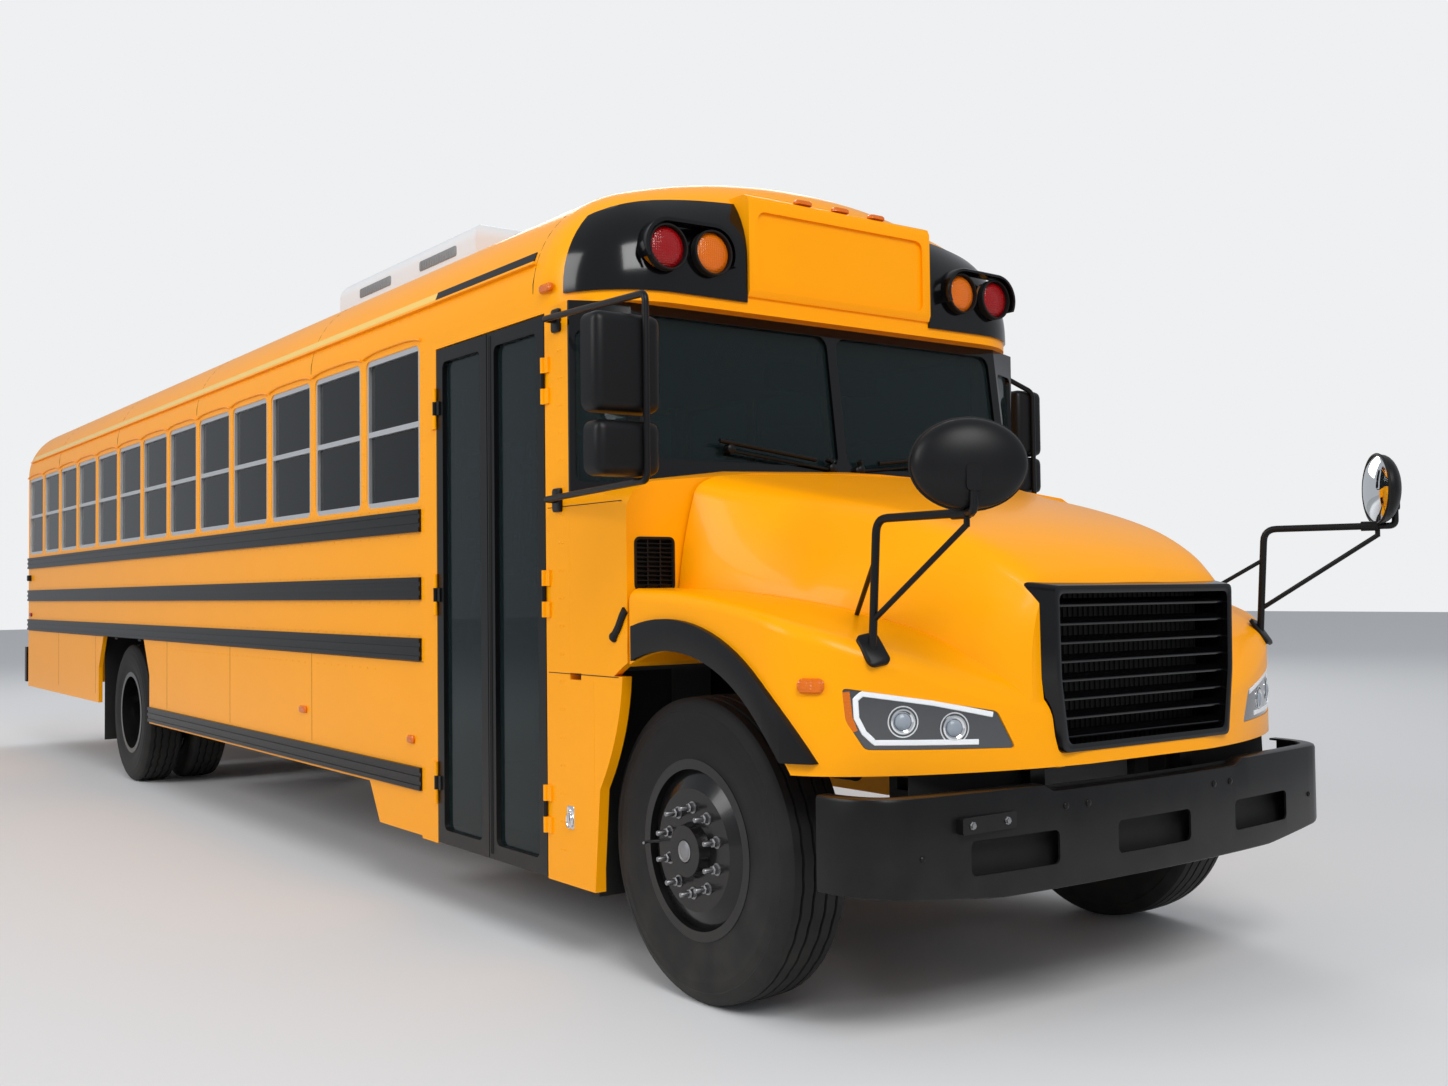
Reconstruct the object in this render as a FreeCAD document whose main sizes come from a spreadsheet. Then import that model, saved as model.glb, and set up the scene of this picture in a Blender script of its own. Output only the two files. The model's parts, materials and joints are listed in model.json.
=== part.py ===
"""A conventional school bus: a long flat-sided body behind a tilting hood, on dual rear wheels.

The bus faces -Y, its entrance door is on the -X side and +Z is up. The origin is on the ground,
in the middle of the whole length. Lengths are millimetres and angles are degrees.
"""
import FreeCAD, Part
import math
import os

import Sketcher
from FreeCAD import Placement, Rotation, Vector

SIZES = {
    # Whole vehicle, fore and aft
    "wheelbase": 7400,
    "mirror_reach": 1290,
    "rear_overhang": 3680,
    "rear_bumper_depth": 70,
    # Body cross-section
    "body_width": 2438,
    "wall": 45,
    "shoulder_height": 2555,
    "shoulder_radius": 450,
    "crown_radius": 3000,
    "floor_height": 1130,
    "floor_thickness": 40,
    "skirt_low": 490,
    "skirt_thickness": 30,
    # Body front, measured back from the front axle
    "cowl_front": 505,
    "side_front": 530,
    "post_front": 700,
    "door_front": 876,
    "door_rear": 1858,
    "wall_front": 2020,
    "cap_front": 520,
    "cap_rear": 900,
    "cap_corner": 170,
    "cap_low": 2490,
    "cap_shelf": 40,
    "rear_corner": 110,
    "rear_cap_length": 160,
    # Entrance
    "door_low": 293,
    "door_high": 2470,
    "leaf_gap": 6,
    "leaf_thickness": 40,
    "leaf_frame": 60,
    "entry_depth": 710,
    "step_count": 3,
    "first_step": 360,
    "step_plate": 30,
    # Side windows
    "window_low": 1800,
    "window_high": 2520,
    "window_width": 627,
    "window_pitch": 692,
    "window_count": 13,
    "first_window": 2031,
    "window_corner": 45,
    "sash_bar": 26,
    "sash_depth": 30,
    "glass_thickness": 6,
    "driver_window_front": 900,
    "driver_window_width": 980,
    # Windshield band
    "shield_low": 1763,
    "shield_high": 2490,
    "shield_half_width": 1000,
    "shield_lean": 95,
    "shield_sill": 1890,
    "shield_head": 2450,
    "shield_frame": 40,
    # Rub rails
    "rail_height": 102,
    "rail_depth": 14,
    "rail_groove": 6,
    "window_rail_low": 1667,
    "seat_rail_low": 1360,
    "floor_rail_low": 1085,
    "skirt_rail_low": 504,
    # Wheels and axles
    "tyre_radius": 515,
    "tyre_width": 270,
    "bead_radius": 292,
    "bead_width": 230,
    "front_wheel_x": 1027,
    "dual_outer_x": 1030,
    "dual_spacing": 330,
    "kingpin_x": 860,
    "kingpin_radius": 22,
    "spindle_radius": 38,
    "pin_clearance": 1,
    "arm_length": 210,
    "stud_radius": 9,
    "drum_radius": 205,
    "rear_arch_front": 780,
    "rear_arch_rear": 740,
    "flap_low": 256,
    # Chassis
    "rail_outer_x": 430,
    "rail_flange": 80,
    "rail_web": 9,
    "rail_low": 800,
    "rail_high": 1060,
    "rail_front": 850,
    # Hood
    "hood_rear": 490,
    "hood_front": 985,
    "hood_skin": 24,
    "hood_low": 825,
    "hood_pivot_y": 940,
    "hood_pivot_z": 835,
    "hood_pin_radius": 10,
    "fender_half_width": 1219,
    "arch_radius": 690,
    "arch_rear": 450,
    "fender_low": 704,
    "grille_half_width": 440,
    "grille_low": 870,
    "grille_high": 1340,
    # Bumpers
    "bumper_low": 440,
    "bumper_high": 765,
    "bumper_thickness": 12,
    "bumper_front": 1035,
    "bumper_corner_y": 960,
    "bumper_end_y": 640,
    "bumper_half_width": 1195,
    "plate_bolt_spacing": 120,
    "plate_bolt_radius": 6.5,
    "rear_bumper_low": 585,
    "rear_bumper_high": 918,
    # Seats
    "seat_aisle": 195,
    "seat_count": 12,
    "seat_first_back": 2700,
    "seat_cushion_high": 1570,
    "seat_cushion_depth": 110,
    "seat_back_high": 2110,
    # Rear door and stop arm
    "rear_door_half_width": 470,
    "rear_door_low": 1150,
    "rear_door_high": 2440,
    "rear_window_gap": 90,
    "rear_window_width": 480,
    "rear_window_low": 1840,
    "rear_window_tall": 560,
    "stop_arm_across": 450,
}

doc = FreeCAD.newDocument("school_bus")
sheet = doc.addObject("Spreadsheet::Sheet", "Sizes")


class Size(float):
    """A number that also carries the sheet formula it was worked out with."""

    def __new__(cls, value, text):
        made = float.__new__(cls, value)
        made.text = text
        return made

    def __add__(self, other):
        return Size(float(self) + float(other), f"({self.text} + {formula(other)})")

    def __radd__(self, other):
        return Size(float(other) + float(self), f"({formula(other)} + {self.text})")

    def __sub__(self, other):
        return Size(float(self) - float(other), f"({self.text} - {formula(other)})")

    def __rsub__(self, other):
        return Size(float(other) - float(self), f"({formula(other)} - {self.text})")

    def __mul__(self, other):
        return Size(float(self) * float(other), f"({self.text} * {formula(other)})")

    def __rmul__(self, other):
        return Size(float(other) * float(self), f"({formula(other)} * {self.text})")

    def __truediv__(self, other):
        return Size(float(self) / float(other), f"({self.text} / {formula(other)})")

    def __neg__(self):
        return Size(-float(self), f"(0 - {self.text})")


def formula(number):
    """The sheet formula of a size, or a plain number written out."""
    return number.text if isinstance(number, Size) else f"({float(number)})"


def root(number):
    return Size(math.sqrt(number), f"sqrt({formula(number)})")


class Names:
    """Every sheet cell as an attribute that is a Size."""

    def __init__(self, table):
        for row, (alias, value) in enumerate(table.items(), start=1):
            sheet.set(f"A{row}", alias)
            sheet.set(f"B{row}", str(value))
            sheet.setAlias(f"B{row}", alias)
            setattr(self, alias, Size(value, f"Sizes.{alias}"))


size = Names(SIZES)
doc.recompute()

# Places that many pieces share
HALF = size.body_width / 2
INNER = HALF - size.wall
LENGTH = size.mirror_reach + size.wheelbase + size.rear_overhang + size.rear_bumper_depth
AXLE = size.mirror_reach - LENGTH / 2
REAR_AXLE = AXLE + size.wheelbase
REAR_FACE = REAR_AXLE + size.rear_overhang
REAR_INNER = REAR_FACE - size.wall
SKIRT_TOP = size.floor_height - size.floor_thickness
HUB = size.tyre_radius
SHOULDER_X = HALF - size.shoulder_radius
CROWN_GAP = size.crown_radius - size.shoulder_radius
CROWN_Z = size.shoulder_height - root(CROWN_GAP * CROWN_GAP - SHOULDER_X * SHOULDER_X)
ROOF_TOP = CROWN_Z + size.crown_radius

nodes = {}


def node(label, thing):
    """Names a finished sub-part."""
    thing.Label = label
    nodes[label] = thing
    return thing


def bind(thing, **numbers):
    for prop, number in numbers.items():
        thing.setExpression(prop, formula(number))


def place(thing, x=0, y=0, z=0):
    for axis, number in zip("xyz", (x, y, z)):
        thing.setExpression("Placement.Base." + axis, formula(number))


TURN = {"X": Rotation(Vector(0, 1, 0), 90), "Y": Rotation(Vector(1, 0, 0), -90), "Z": Rotation()}


def box(name, x, y, z, wide, long, tall):
    made = doc.addObject("Part::Box", name)
    bind(made, Length=wide, Width=long, Height=tall)
    place(made, x, y, z)
    return made


def rod(name, x, y, z, radius, length, along="X"):
    made = doc.addObject("Part::Cylinder", name)
    made.Placement = Placement(Vector(), TURN[along])
    bind(made, Radius=radius, Height=length)
    place(made, x, y, z)
    return made


def fused(name, pieces):
    made = doc.addObject("Part::MultiFuse", name)
    made.Shapes = pieces
    return made


def grouped(name, pieces):
    """Pieces that don't touch, kept together as one sub-part."""
    made = doc.addObject("Part::Compound", name)
    made.Links = pieces
    return made


def cut(name, base, tool):
    made = doc.addObject("Part::Cut", name)
    made.Base = base
    made.Tool = tool
    return made


def mirrored(name, source):
    """The same piece on the other side of the bus."""
    made = doc.addObject("Part::Mirroring", name)
    made.Source = source
    made.Normal = Vector(1, 0, 0)
    return made


def feature(name, shape):
    made = doc.addObject("Part::Feature", name)
    made.Shape = shape
    return made


def new_body(name):
    return doc.addObject("PartDesign::Body", name)


def sketch_on(body, role, name, offset=0):
    """A sketch on one of the body's own planes, moved along that plane's normal."""
    plane = [item for item in body.Origin.OriginFeatures if item.Role == role][0]
    sketch = body.newObject("Sketcher::SketchObject", name)
    sketch.AttachmentSupport = [(plane, "")]
    sketch.MapMode = "FlatFace"
    sketch.setExpression("AttachmentOffset.Base.z", formula(offset))
    return sketch


def arc_centre(start, end, radius):
    """Centre of the short arc from start to end; a positive radius bulges out of the outline."""
    chord = end - start
    left = Vector(-chord.y, chord.x, 0).normalize()
    rise = math.sqrt(max(radius * radius - chord.Length ** 2 / 4, 0))
    return (start + end) / 2 + left * math.copysign(rise, radius)


def outline(sketch, corners):
    """A closed anticlockwise outline; a third number at a corner makes its next side an arc."""
    points = [Vector(float(corner[0]), float(corner[1]), 0) for corner in corners]
    ends = []
    for index, corner in enumerate(corners):
        start, end = points[index], points[(index + 1) % len(points)]
        if len(corner) == 2:
            sketch.addGeometry(Part.LineSegment(start, end), False)
            ends.append((1, 2))
            continue
        centre = arc_centre(start, end, corner[2])
        first, last = (start, end) if corner[2] > 0 else (end, start)
        angles = [math.atan2(spot.y - centre.y, spot.x - centre.x) for spot in (first, last)]
        circle = Part.Circle(centre, Vector(0, 0, 1), abs(float(corner[2])))
        sketch.addGeometry(Part.ArcOfCircle(circle, angles[0], angles[1]), False)
        ends.append((1, 2) if corner[2] > 0 else (2, 1))
    for index, corner in enumerate(corners):
        following = (index + 1) % len(corners)
        join = Sketcher.Constraint("Coincident", index, ends[index][1], following, ends[following][0])
        sketch.addConstraint(join)
        for kind, number in (("DistanceX", corner[0]), ("DistanceY", corner[1])):
            datum = Sketcher.Constraint(kind, -1, 1, index, ends[index][0], float(number))
            place_index = sketch.addConstraint(datum)
            sketch.setExpression(f"Constraints[{place_index}]", formula(number))
        if len(corner) == 3:
            radius = corner[2] if corner[2] > 0 else -corner[2]
            datum = Sketcher.Constraint("Radius", index, float(radius))
            place_index = sketch.addConstraint(datum)
            sketch.setExpression(f"Constraints[{place_index}]", formula(radius))


def rounded_corners(left, low, wide, tall, radius):
    """Corners of a rectangle with quarter-round corners, for outline()."""
    right, high = left + wide, low + tall
    return [
        (left + radius, low), (right - radius, low, radius),
        (right, low + radius), (right, high - radius, radius),
        (right - radius, high), (left + radius, high, radius),
        (left, high - radius), (left, low + radius, radius),
    ]


def pad(body, sketch, length, reverse=False):
    made = body.newObject("PartDesign::Pad", sketch.Name + "_pad")
    made.Profile = sketch
    made.Reversed = reverse
    made.setExpression("Length", formula(length))
    return made


def pocket(body, sketch, length, reverse=False):
    made = body.newObject("PartDesign::Pocket", sketch.Name + "_pocket")
    made.Profile = sketch
    made.Reversed = reverse
    made.setExpression("Length", formula(length))
    return made


def panel(name, role, corners, at, thickness, holes=(), reverse=False):
    """A flat panel with an outline, cut through by the given hole outlines."""
    body = new_body(name)
    face = sketch_on(body, role, name + "_face", at)
    outline(face, corners)
    pad(body, face, thickness, reverse)
    for index, hole in enumerate(holes):
        opening = sketch_on(body, role, f"{name}_hole{index}", at)
        outline(opening, hole)
        pocket(body, opening, thickness, not reverse)
    return body


def wire_face(points):
    """A flat face through points, closed back to the first."""
    return Part.Face(Part.makePolygon(points + [points[0]]))


def section_solid(inset, low, front, rear):
    """A solid with the body's cross-section, set in from its skin and running fore and aft."""
    half, shoulder = float(HALF) - inset, float(size.shoulder_radius) - inset
    crown, centre = float(size.crown_radius) - inset, float(CROWN_Z)
    start = Vector(half, front, float(size.shoulder_height))
    share = float(SHOULDER_X) / float(CROWN_GAP)
    meet = Vector(share * crown, front, centre + math.sqrt(1 - share * share) * crown)
    middle = math.radians(45) * 0.5
    corner_mid = Vector(float(SHOULDER_X) + shoulder * math.cos(middle * 1.7), front,
                        float(size.shoulder_height) + shoulder * math.sin(middle * 1.7))
    mirror_of = lambda spot: Vector(-spot.x, spot.y, spot.z)
    edges = [
        Part.Arc(start, corner_mid, meet).toShape(),
        Part.Arc(meet, Vector(0, front, centre + crown), mirror_of(meet)).toShape(),
        Part.Arc(mirror_of(meet), mirror_of(corner_mid), mirror_of(start)).toShape(),
        Part.LineSegment(mirror_of(start), Vector(-half, front, low)).toShape(),
        Part.LineSegment(Vector(-half, front, low), Vector(half, front, low)).toShape(),
        Part.LineSegment(Vector(half, front, low), start).toShape(),
    ]
    return Part.Face(Part.Wire(edges)).extrude(Vector(0, rear - front, 0))


def end_edges(solid, at_y):
    """Edges of a section solid's end, without the straight one along its bottom."""
    low = solid.BoundBox.ZMin
    chosen = []
    for edge in solid.Edges:
        bounds = edge.BoundBox
        at_end = abs(bounds.YMin - at_y) < 0.01 and abs(bounds.YMax - at_y) < 0.01
        if at_end and bounds.ZMax > low + 0.01:
            chosen.append(edge)
    return chosen


def capped_solid(inset, low, front, rear, radius, round_front):
    """A section solid with its front or rear edge rounded."""
    solid = section_solid(inset, low, front, rear)
    return solid.makeFillet(radius, end_edges(solid, front if round_front else rear))


def make_roof():
    """Roof shell: shoulders and a shallow crown, as one bent sheet."""
    front, rear = AXLE + size.cap_rear, REAR_FACE - size.rear_cap_length
    share = SHOULDER_X / CROWN_GAP
    rise = root(1 - share * share)
    outer_x, outer_z = share * size.crown_radius, CROWN_Z + rise * size.crown_radius
    inner_crown = size.crown_radius - size.wall
    inner_shoulder = size.shoulder_radius - size.wall
    inner_x, inner_z = share * inner_crown, CROWN_Z + rise * inner_crown
    low = size.shoulder_height
    corners = [
        (HALF, low, size.shoulder_radius), (outer_x, outer_z, size.crown_radius),
        (-outer_x, outer_z, size.shoulder_radius), (-HALF, low),
        (-INNER, low, -inner_shoulder), (-inner_x, inner_z, -inner_crown),
        (inner_x, inner_z, -inner_shoulder), (INNER, low),
    ]
    node("roof", panel("RoofShell", "XZ_Plane", corners, -front, rear - front, reverse=True))


def front_cap_solid(inset):
    front = float(AXLE + size.cap_front) + inset
    rear = float(AXLE + size.cap_rear) + (1 if inset > 0 else 0)
    low = float(size.cap_low) + (float(size.cap_shelf) if inset > 0 else 0)
    return capped_solid(inset, low, front, rear, float(size.cap_corner) - inset, True)


def make_front_cap():
    """Rounded front end of the roof, with a shelf that overhangs the windshield."""
    wall = float(size.wall)
    shell = front_cap_solid(0).cut(front_cap_solid(wall))
    shelf_rear = float(AXLE + size.post_front) + 60
    reach = float(AXLE + size.cap_rear) - shelf_rear + 1
    low = float(size.cap_low)
    hollow = Part.makeBox(2 * float(INNER), reach, float(size.cap_shelf) + 2,
                          Vector(-float(INNER), shelf_rear, low - 1))
    node("front_cap", feature("FrontCap", shell.cut(hollow)))


LAMPS = {"inner": (687, 2699), "outer": (900, 2695)}
LAMP_RADIUS = 82


def make_lamp_pods():
    """Black panels on the rounded corners of the front cap, around the warning lamps."""
    cap = front_cap_solid(0)
    grown = capped_solid(-8, float(size.cap_low), float(AXLE + size.cap_front) - 8,
                         float(AXLE + size.cap_rear), float(size.cap_corner) + 8, True)
    skin = grown.cut(cap)
    front = float(AXLE + size.cap_front) - 20
    pods = []
    for side in (-1, 1):
        region = Part.makeBox(800, 300, 420, Vector(500 if side > 0 else -1300, front, 2525))
        pods.append(skin.common(region).Solids[0])
    node("lamp_pods", feature("LampPods", Part.makeCompound(pods)))


def make_lamps():
    """Round warning lamps: red outboard and amber inboard, at the front and at the rear."""
    front, rear = float(AXLE + size.cap_front) - 8, float(REAR_FACE)
    depth = 30
    red, amber = [], []
    for side in (-1, 1):
        for key, bucket in (("outer", red), ("inner", amber)):
            across, up = LAMPS[key]
            lens = Part.makeCylinder(LAMP_RADIUS, depth, Vector(side * across, front, up), Vector(0, -1, 0))
            bucket.append(lens)
            lens = Part.makeCylinder(LAMP_RADIUS, depth, Vector(side * across, rear, up - 60), Vector(0, 1, 0))
            bucket.append(lens)
    for across in (-203, 0, 203):
        top = Part.makeBox(120, 20, 34, Vector(across - 60, float(AXLE + size.cap_front) - 20, 2870))
        amber.append(top)
    node("red_lamps", feature("RedLamps", Part.makeCompound(red)))
    node("amber_lamps", feature("AmberLamps", Part.makeCompound(amber)))


def window_holes(front_edges, width):
    return [rounded_corners(edge, size.window_low, width, size.window_high - size.window_low,
                            size.window_corner) for edge in front_edges]


def window_fronts():
    """Front edges of the passenger windows, one for each pitch."""
    first = AXLE + size.first_window
    return [first + size.window_pitch * index for index in range(int(size.window_count))]


def make_side_walls():
    """Side walls above the floor line, each with its row of window openings."""
    low, high, rear = SKIRT_TOP, size.shoulder_height, REAR_FACE - size.rear_corner
    front = AXLE + size.wall_front
    corners = [(front, low), (rear, low), (rear, high), (front, high)]
    holes = window_holes(window_fronts(), size.window_width)
    node("side_wall_right", panel("RightWall", "YZ_Plane", corners, -HALF, size.wall, holes))
    post, cap = AXLE + size.post_front, AXLE + size.cap_rear
    corners = [(post, low), (rear, low), (rear, high), (cap, high), (cap, size.cap_low), (post, size.cap_low)]
    holes += window_holes([AXLE + size.driver_window_front], size.driver_window_width)
    node("side_wall_left", panel("LeftWall", "YZ_Plane", corners, INNER, size.wall, holes))


def make_door_surround():
    """Posts and header round the entrance, with the panel that runs down ahead of the steps."""
    front, post = AXLE + size.side_front, AXLE + size.post_front
    cap, rear = AXLE + size.cap_rear, AXLE + size.wall_front
    seam = size.rail_high
    corners = [
        (front, size.door_low), (AXLE + size.door_front, size.door_low),
        (AXLE + size.door_front, size.door_high), (AXLE + size.door_rear, size.door_high),
        (AXLE + size.door_rear, size.door_low), (rear, size.door_low), (rear, size.shoulder_height),
        (cap, size.shoulder_height), (cap, size.cap_low), (post, size.cap_low),
        (post, seam), (front, seam),
    ]
    node("door_surround", panel("DoorSurround", "YZ_Plane", corners, -HALF, size.wall))


def make_skirts():
    """Skirt panels below the floor line, open at the rear wheels and stepped down at the entrance."""
    arch_front = REAR_AXLE - size.rear_arch_front
    arch_rear = REAR_AXLE + size.rear_arch_rear
    rear = REAR_FACE - size.rear_corner
    front = AXLE + size.wall_front
    low, high, entry = size.skirt_low, SKIRT_TOP, size.door_low + 12
    step_rear = AXLE + 2500
    arch_run = 160
    front_panel = [
        (front, entry), (step_rear, entry), (step_rear + 120, low), (arch_front, low),
        (arch_front, high - 260), (arch_front + arch_run, high), (front, high),
    ]
    rear_panel = [
        (arch_rear, low + 60), (rear, low + 60), (rear, high), (arch_rear - arch_run, high),
        (arch_rear, high - 260),
    ]
    skirts = []
    for label, at, lead in (("right", -HALF, None), ("left", HALF - size.skirt_thickness, "lead")):
        pieces = [
            panel(f"Skirt_{label}_a", "YZ_Plane", front_panel, at, size.skirt_thickness),
            panel(f"Skirt_{label}_b", "YZ_Plane", rear_panel, at, size.skirt_thickness),
        ]
        if lead:
            start = AXLE + size.side_front
            seam = size.rail_high
            post = AXLE + size.post_front
            corners = [(start, entry), (front, entry), (front, high), (post, high), (post, seam), (start, seam)]
            pieces.append(panel(f"Skirt_{label}_c", "YZ_Plane", corners, at, size.skirt_thickness))
        skirts.append(fused(f"Skirt_{label}", pieces))
    node("skirts", grouped("Skirts", skirts))


def rail_piece(name, side, low, front, rear, skin):
    """One ribbed rub rail: a flat bar with two grooves along it."""
    depth, groove = size.rail_depth, size.rail_groove
    step = size.rail_height / 5
    corners = []
    bottom = [(0, 0), (depth, 0), (depth, step), (depth - groove, step), (depth - groove, 2 * step),
              (depth, 2 * step), (depth, 3 * step), (depth - groove, 3 * step), (depth - groove, 4 * step),
              (depth, 4 * step), (depth, 5 * step), (0, 5 * step)]
    for out, up in bottom:
        corners.append((side * (skin + out), low + up))
    if side < 0:
        corners.reverse()
    return panel(name, "XZ_Plane", corners, -front, rear - front, reverse=True)


def make_rub_rails():
    """Rub rails at the window, seat and floor lines and along the skirt."""
    rear = REAR_FACE - size.rear_corner
    right_front = AXLE + size.wall_front
    left_front = AXLE + size.door_front
    arch_front = REAR_AXLE - size.rear_arch_front
    pieces = []
    for side, front in ((-1, right_front), (1, left_front)):
        for index, low in enumerate((size.window_rail_low, size.seat_rail_low, size.floor_rail_low)):
            pieces.append(rail_piece(f"Rail{index}_{side + 1}", side, low, front, rear, HALF))
        front = right_front if side < 0 else AXLE + size.wall_front
        pieces.append(rail_piece(f"Rail3_{side + 1}", side, size.skirt_rail_low, front, arch_front, HALF))
    node("rub_rails", grouped("RubRails", pieces))


def make_window_frames():
    """Aluminium sashes: an outer frame and a middle bar in every side window."""
    tall = size.window_high - size.window_low
    bar = size.sash_bar
    pane_high = (tall - 3 * bar) / 2
    frames = []
    rows = [(-1, window_fronts(), size.window_width), (1, window_fronts(), size.window_width),
            (1, [AXLE + size.driver_window_front], size.driver_window_width)]
    for count, (side, fronts, width) in enumerate(rows):
        at = -HALF + 6 if side < 0 else HALF - 6 - size.sash_depth
        for index, edge in enumerate(fronts):
            corners = rounded_corners(edge, size.window_low, width, tall, size.window_corner)
            holes = []
            for level in (0, 1):
                low = size.window_low + bar + (pane_high + bar) * level
                holes.append([(edge + bar, low), (edge + width - bar, low),
                              (edge + width - bar, low + pane_high), (edge + bar, low + pane_high)])
            frames.append(panel(f"Sash{count}_{index}", "YZ_Plane", corners, at, size.sash_depth, holes))
    node("window_frames", grouped("WindowFrames", frames))


def rear_window_left(side):
    """Left edge of a window beside the rear door."""
    inner = size.rear_door_half_width + size.rear_window_gap
    return inner if side > 0 else -inner - size.rear_window_width


def make_side_glass():
    """Panes of the side windows, one in each half of a sash."""
    tall = size.window_high - size.window_low
    bar = size.sash_bar
    pane_high = (tall - 3 * bar) / 2
    panes = []
    rows = [(-1, window_fronts(), size.window_width), (1, window_fronts(), size.window_width),
            (1, [AXLE + size.driver_window_front], size.driver_window_width)]
    for count, (side, fronts, width) in enumerate(rows):
        out = HALF - 22
        x = -out if side < 0 else out - size.glass_thickness
        for index, edge in enumerate(fronts):
            for level in (0, 1):
                low = size.window_low + bar + (pane_high + bar) * level
                panes.append(box(f"Pane{count}_{index}_{level}", x, edge + bar, low,
                                 size.glass_thickness, width - 2 * bar, pane_high))
    for side in (-1, 1):
        left = rear_window_left(side)
        corners = rounded_corners(left, size.rear_window_low, size.rear_window_width, size.rear_window_tall, 60)
        panes.append(panel(f"RearPane{side + 1}", "XZ_Plane", corners, -REAR_FACE + 20, size.glass_thickness))
    node("side_glass", grouped("SideGlass", panes))


def inset_plan(points, inset):
    """A row of plan points moved inwards, to the left of the way they run."""
    lines = []
    for start, end in zip(points, points[1:]):
        along = (end - start).normalize()
        left = Vector(-along.y, along.x, 0)
        lines.append((start + left * inset, along))
    moved = [lines[0][0]]
    for (spot, along), (other, other_along) in zip(lines, lines[1:]):
        cross = along.x * other_along.y - along.y * other_along.x
        gap = other - spot
        reach = (gap.x * other_along.y - gap.y * other_along.x) / cross
        moved.append(spot + along * reach)
    last_start, last_along = lines[-1]
    moved.append(last_start + last_along * (points[-1] - points[-2]).Length)
    return moved


def shield_plan(height, inset):
    """Plan of the windshield band at a height: a flat front with a turned corner each side."""
    share = (height - float(size.shield_low)) / float(size.shield_high - size.shield_low)
    lean = float(size.shield_lean) * share
    half, flat = float(HALF), float(size.shield_half_width)
    turn = float(AXLE + size.post_front) - 12
    back = turn + (12 if not inset else 72)
    front = float(AXLE + size.cowl_front) + lean
    points = [Vector(-half, back, height), Vector(-half, turn, height), Vector(-flat, front, height),
              Vector(flat, front, height), Vector(half, turn, height), Vector(half, back, height)]
    return inset_plan(points, inset) if inset else points


def shield_band(outer, inner):
    """The windshield band between two depths below its skin, from its foot to its head."""
    solids = []
    for inset in (outer, inner):
        low, high = float(size.shield_low), float(size.shield_high)
        wires = [Part.makePolygon(plan + [plan[0]])
                 for plan in (shield_plan(low, inset), shield_plan(high, inset))]
        solids.append(Part.makeLoft(wires, True, True))
    return solids[0].cut(solids[1])


def shield_openings():
    """Blocks that cut the two front panes and the two corner panes out of the band."""
    low, high = float(size.shield_sill), float(size.shield_head)
    post, edge = 25, float(size.shield_half_width) - 45
    front = float(AXLE + size.cowl_front) - 100
    blocks = []
    for side in (-1, 1):
        left = post if side > 0 else -edge
        pane = Part.makeBox(edge - post, 400, high - low, Vector(left, front, low))
        blocks.append(pane.makeFillet(50, [e for e in pane.Edges if abs(e.tangentAt(0).y) > 0.9]))
        flat, half = float(size.shield_half_width), float(HALF)
        run = Vector(half - flat, float(size.post_front - 12 - size.cowl_front), 0)
        corner = Part.makeBox(run.Length - 90, 300, 2380 - 1800, Vector(50, -120, 0))
        corner = corner.makeFillet(35, [e for e in corner.Edges if abs(e.tangentAt(0).y) > 0.9])
        turn = math.degrees(math.atan2(run.y, run.x))
        corner.Placement = Placement(Vector(flat, float(AXLE + size.cowl_front) + 30, 1800),
                                     Rotation(Vector(0, 0, 1), turn))
        if side < 0:
            corner = corner.mirror(Vector(0, 0, 0), Vector(1, 0, 0))
        blocks.append(corner)
    return blocks


def make_windshield():
    """Black windshield frame with a centre post, and its four panes."""
    band = shield_band(0, float(size.shield_frame))
    skin = shield_band(16, 22)
    blocks = shield_openings()
    frame = band
    panes = []
    for block in blocks:
        frame = frame.cut(block)
        panes += [solid for solid in skin.common(block).Solids if solid.Volume > 100000]
    node("windshield_frame", feature("WindshieldFrame", frame))
    node("windshield_glass", feature("WindshieldGlass", Part.makeCompound(panes)))


def make_cowl():
    """Bulkhead behind the hood, with its returns along both sides."""
    front, back = AXLE + size.cowl_front, AXLE + size.post_front
    low = size.rail_high
    corners = [
        (-HALF, back), (-HALF, front), (HALF, front), (HALF, back), (INNER, back),
        (INNER, front + size.wall), (-INNER, front + size.wall), (-INNER, back),
    ]
    shell = panel("CowlShell", "XY_Plane", corners, low, size.shield_low - low)
    node("cowl", shell)


def make_floor():
    """Floor plate with the step well inside the entrance."""
    front, rear = AXLE + size.cowl_front + size.wall, REAR_INNER
    well_front, well_rear = AXLE + size.door_front, AXLE + size.door_rear
    top, plate, inner = size.floor_height, size.floor_thickness, INNER
    well_x = -INNER + size.entry_depth
    corner_x, corner_y = HALF - size.rear_corner, REAR_FACE - size.rear_corner
    corners = [
        (-inner, front), (inner, front), (inner, corner_y), (corner_x, rear), (-corner_x, rear),
        (-inner, corner_y),
        (-inner, well_rear), (well_x, well_rear), (well_x, well_front), (-inner, well_front),
    ]
    pieces = [panel("FloorPlate", "XY_Plane", corners, top - plate, plate)]
    count = int(size.step_count)
    rise = (top - size.first_step) / count
    tread = size.entry_depth / count
    thick = size.step_plate
    for index in range(count):
        x = -INNER + tread * index
        z = size.first_step + rise * index
        pieces.append(box(f"Tread{index}", x, well_front, z - thick, tread, well_rear - well_front, thick))
        pieces.append(box(f"Riser{index}", x + tread - thick, well_front, z - thick, thick,
                          well_rear - well_front, rise + thick))
    for index, y in enumerate((well_front - thick, well_rear)):
        pieces.append(box(f"WellEnd{index}", -INNER, y, size.first_step - thick, size.entry_depth,
                          thick, top - plate - size.first_step + thick))
    node("floor", fused("Floor", pieces))


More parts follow.
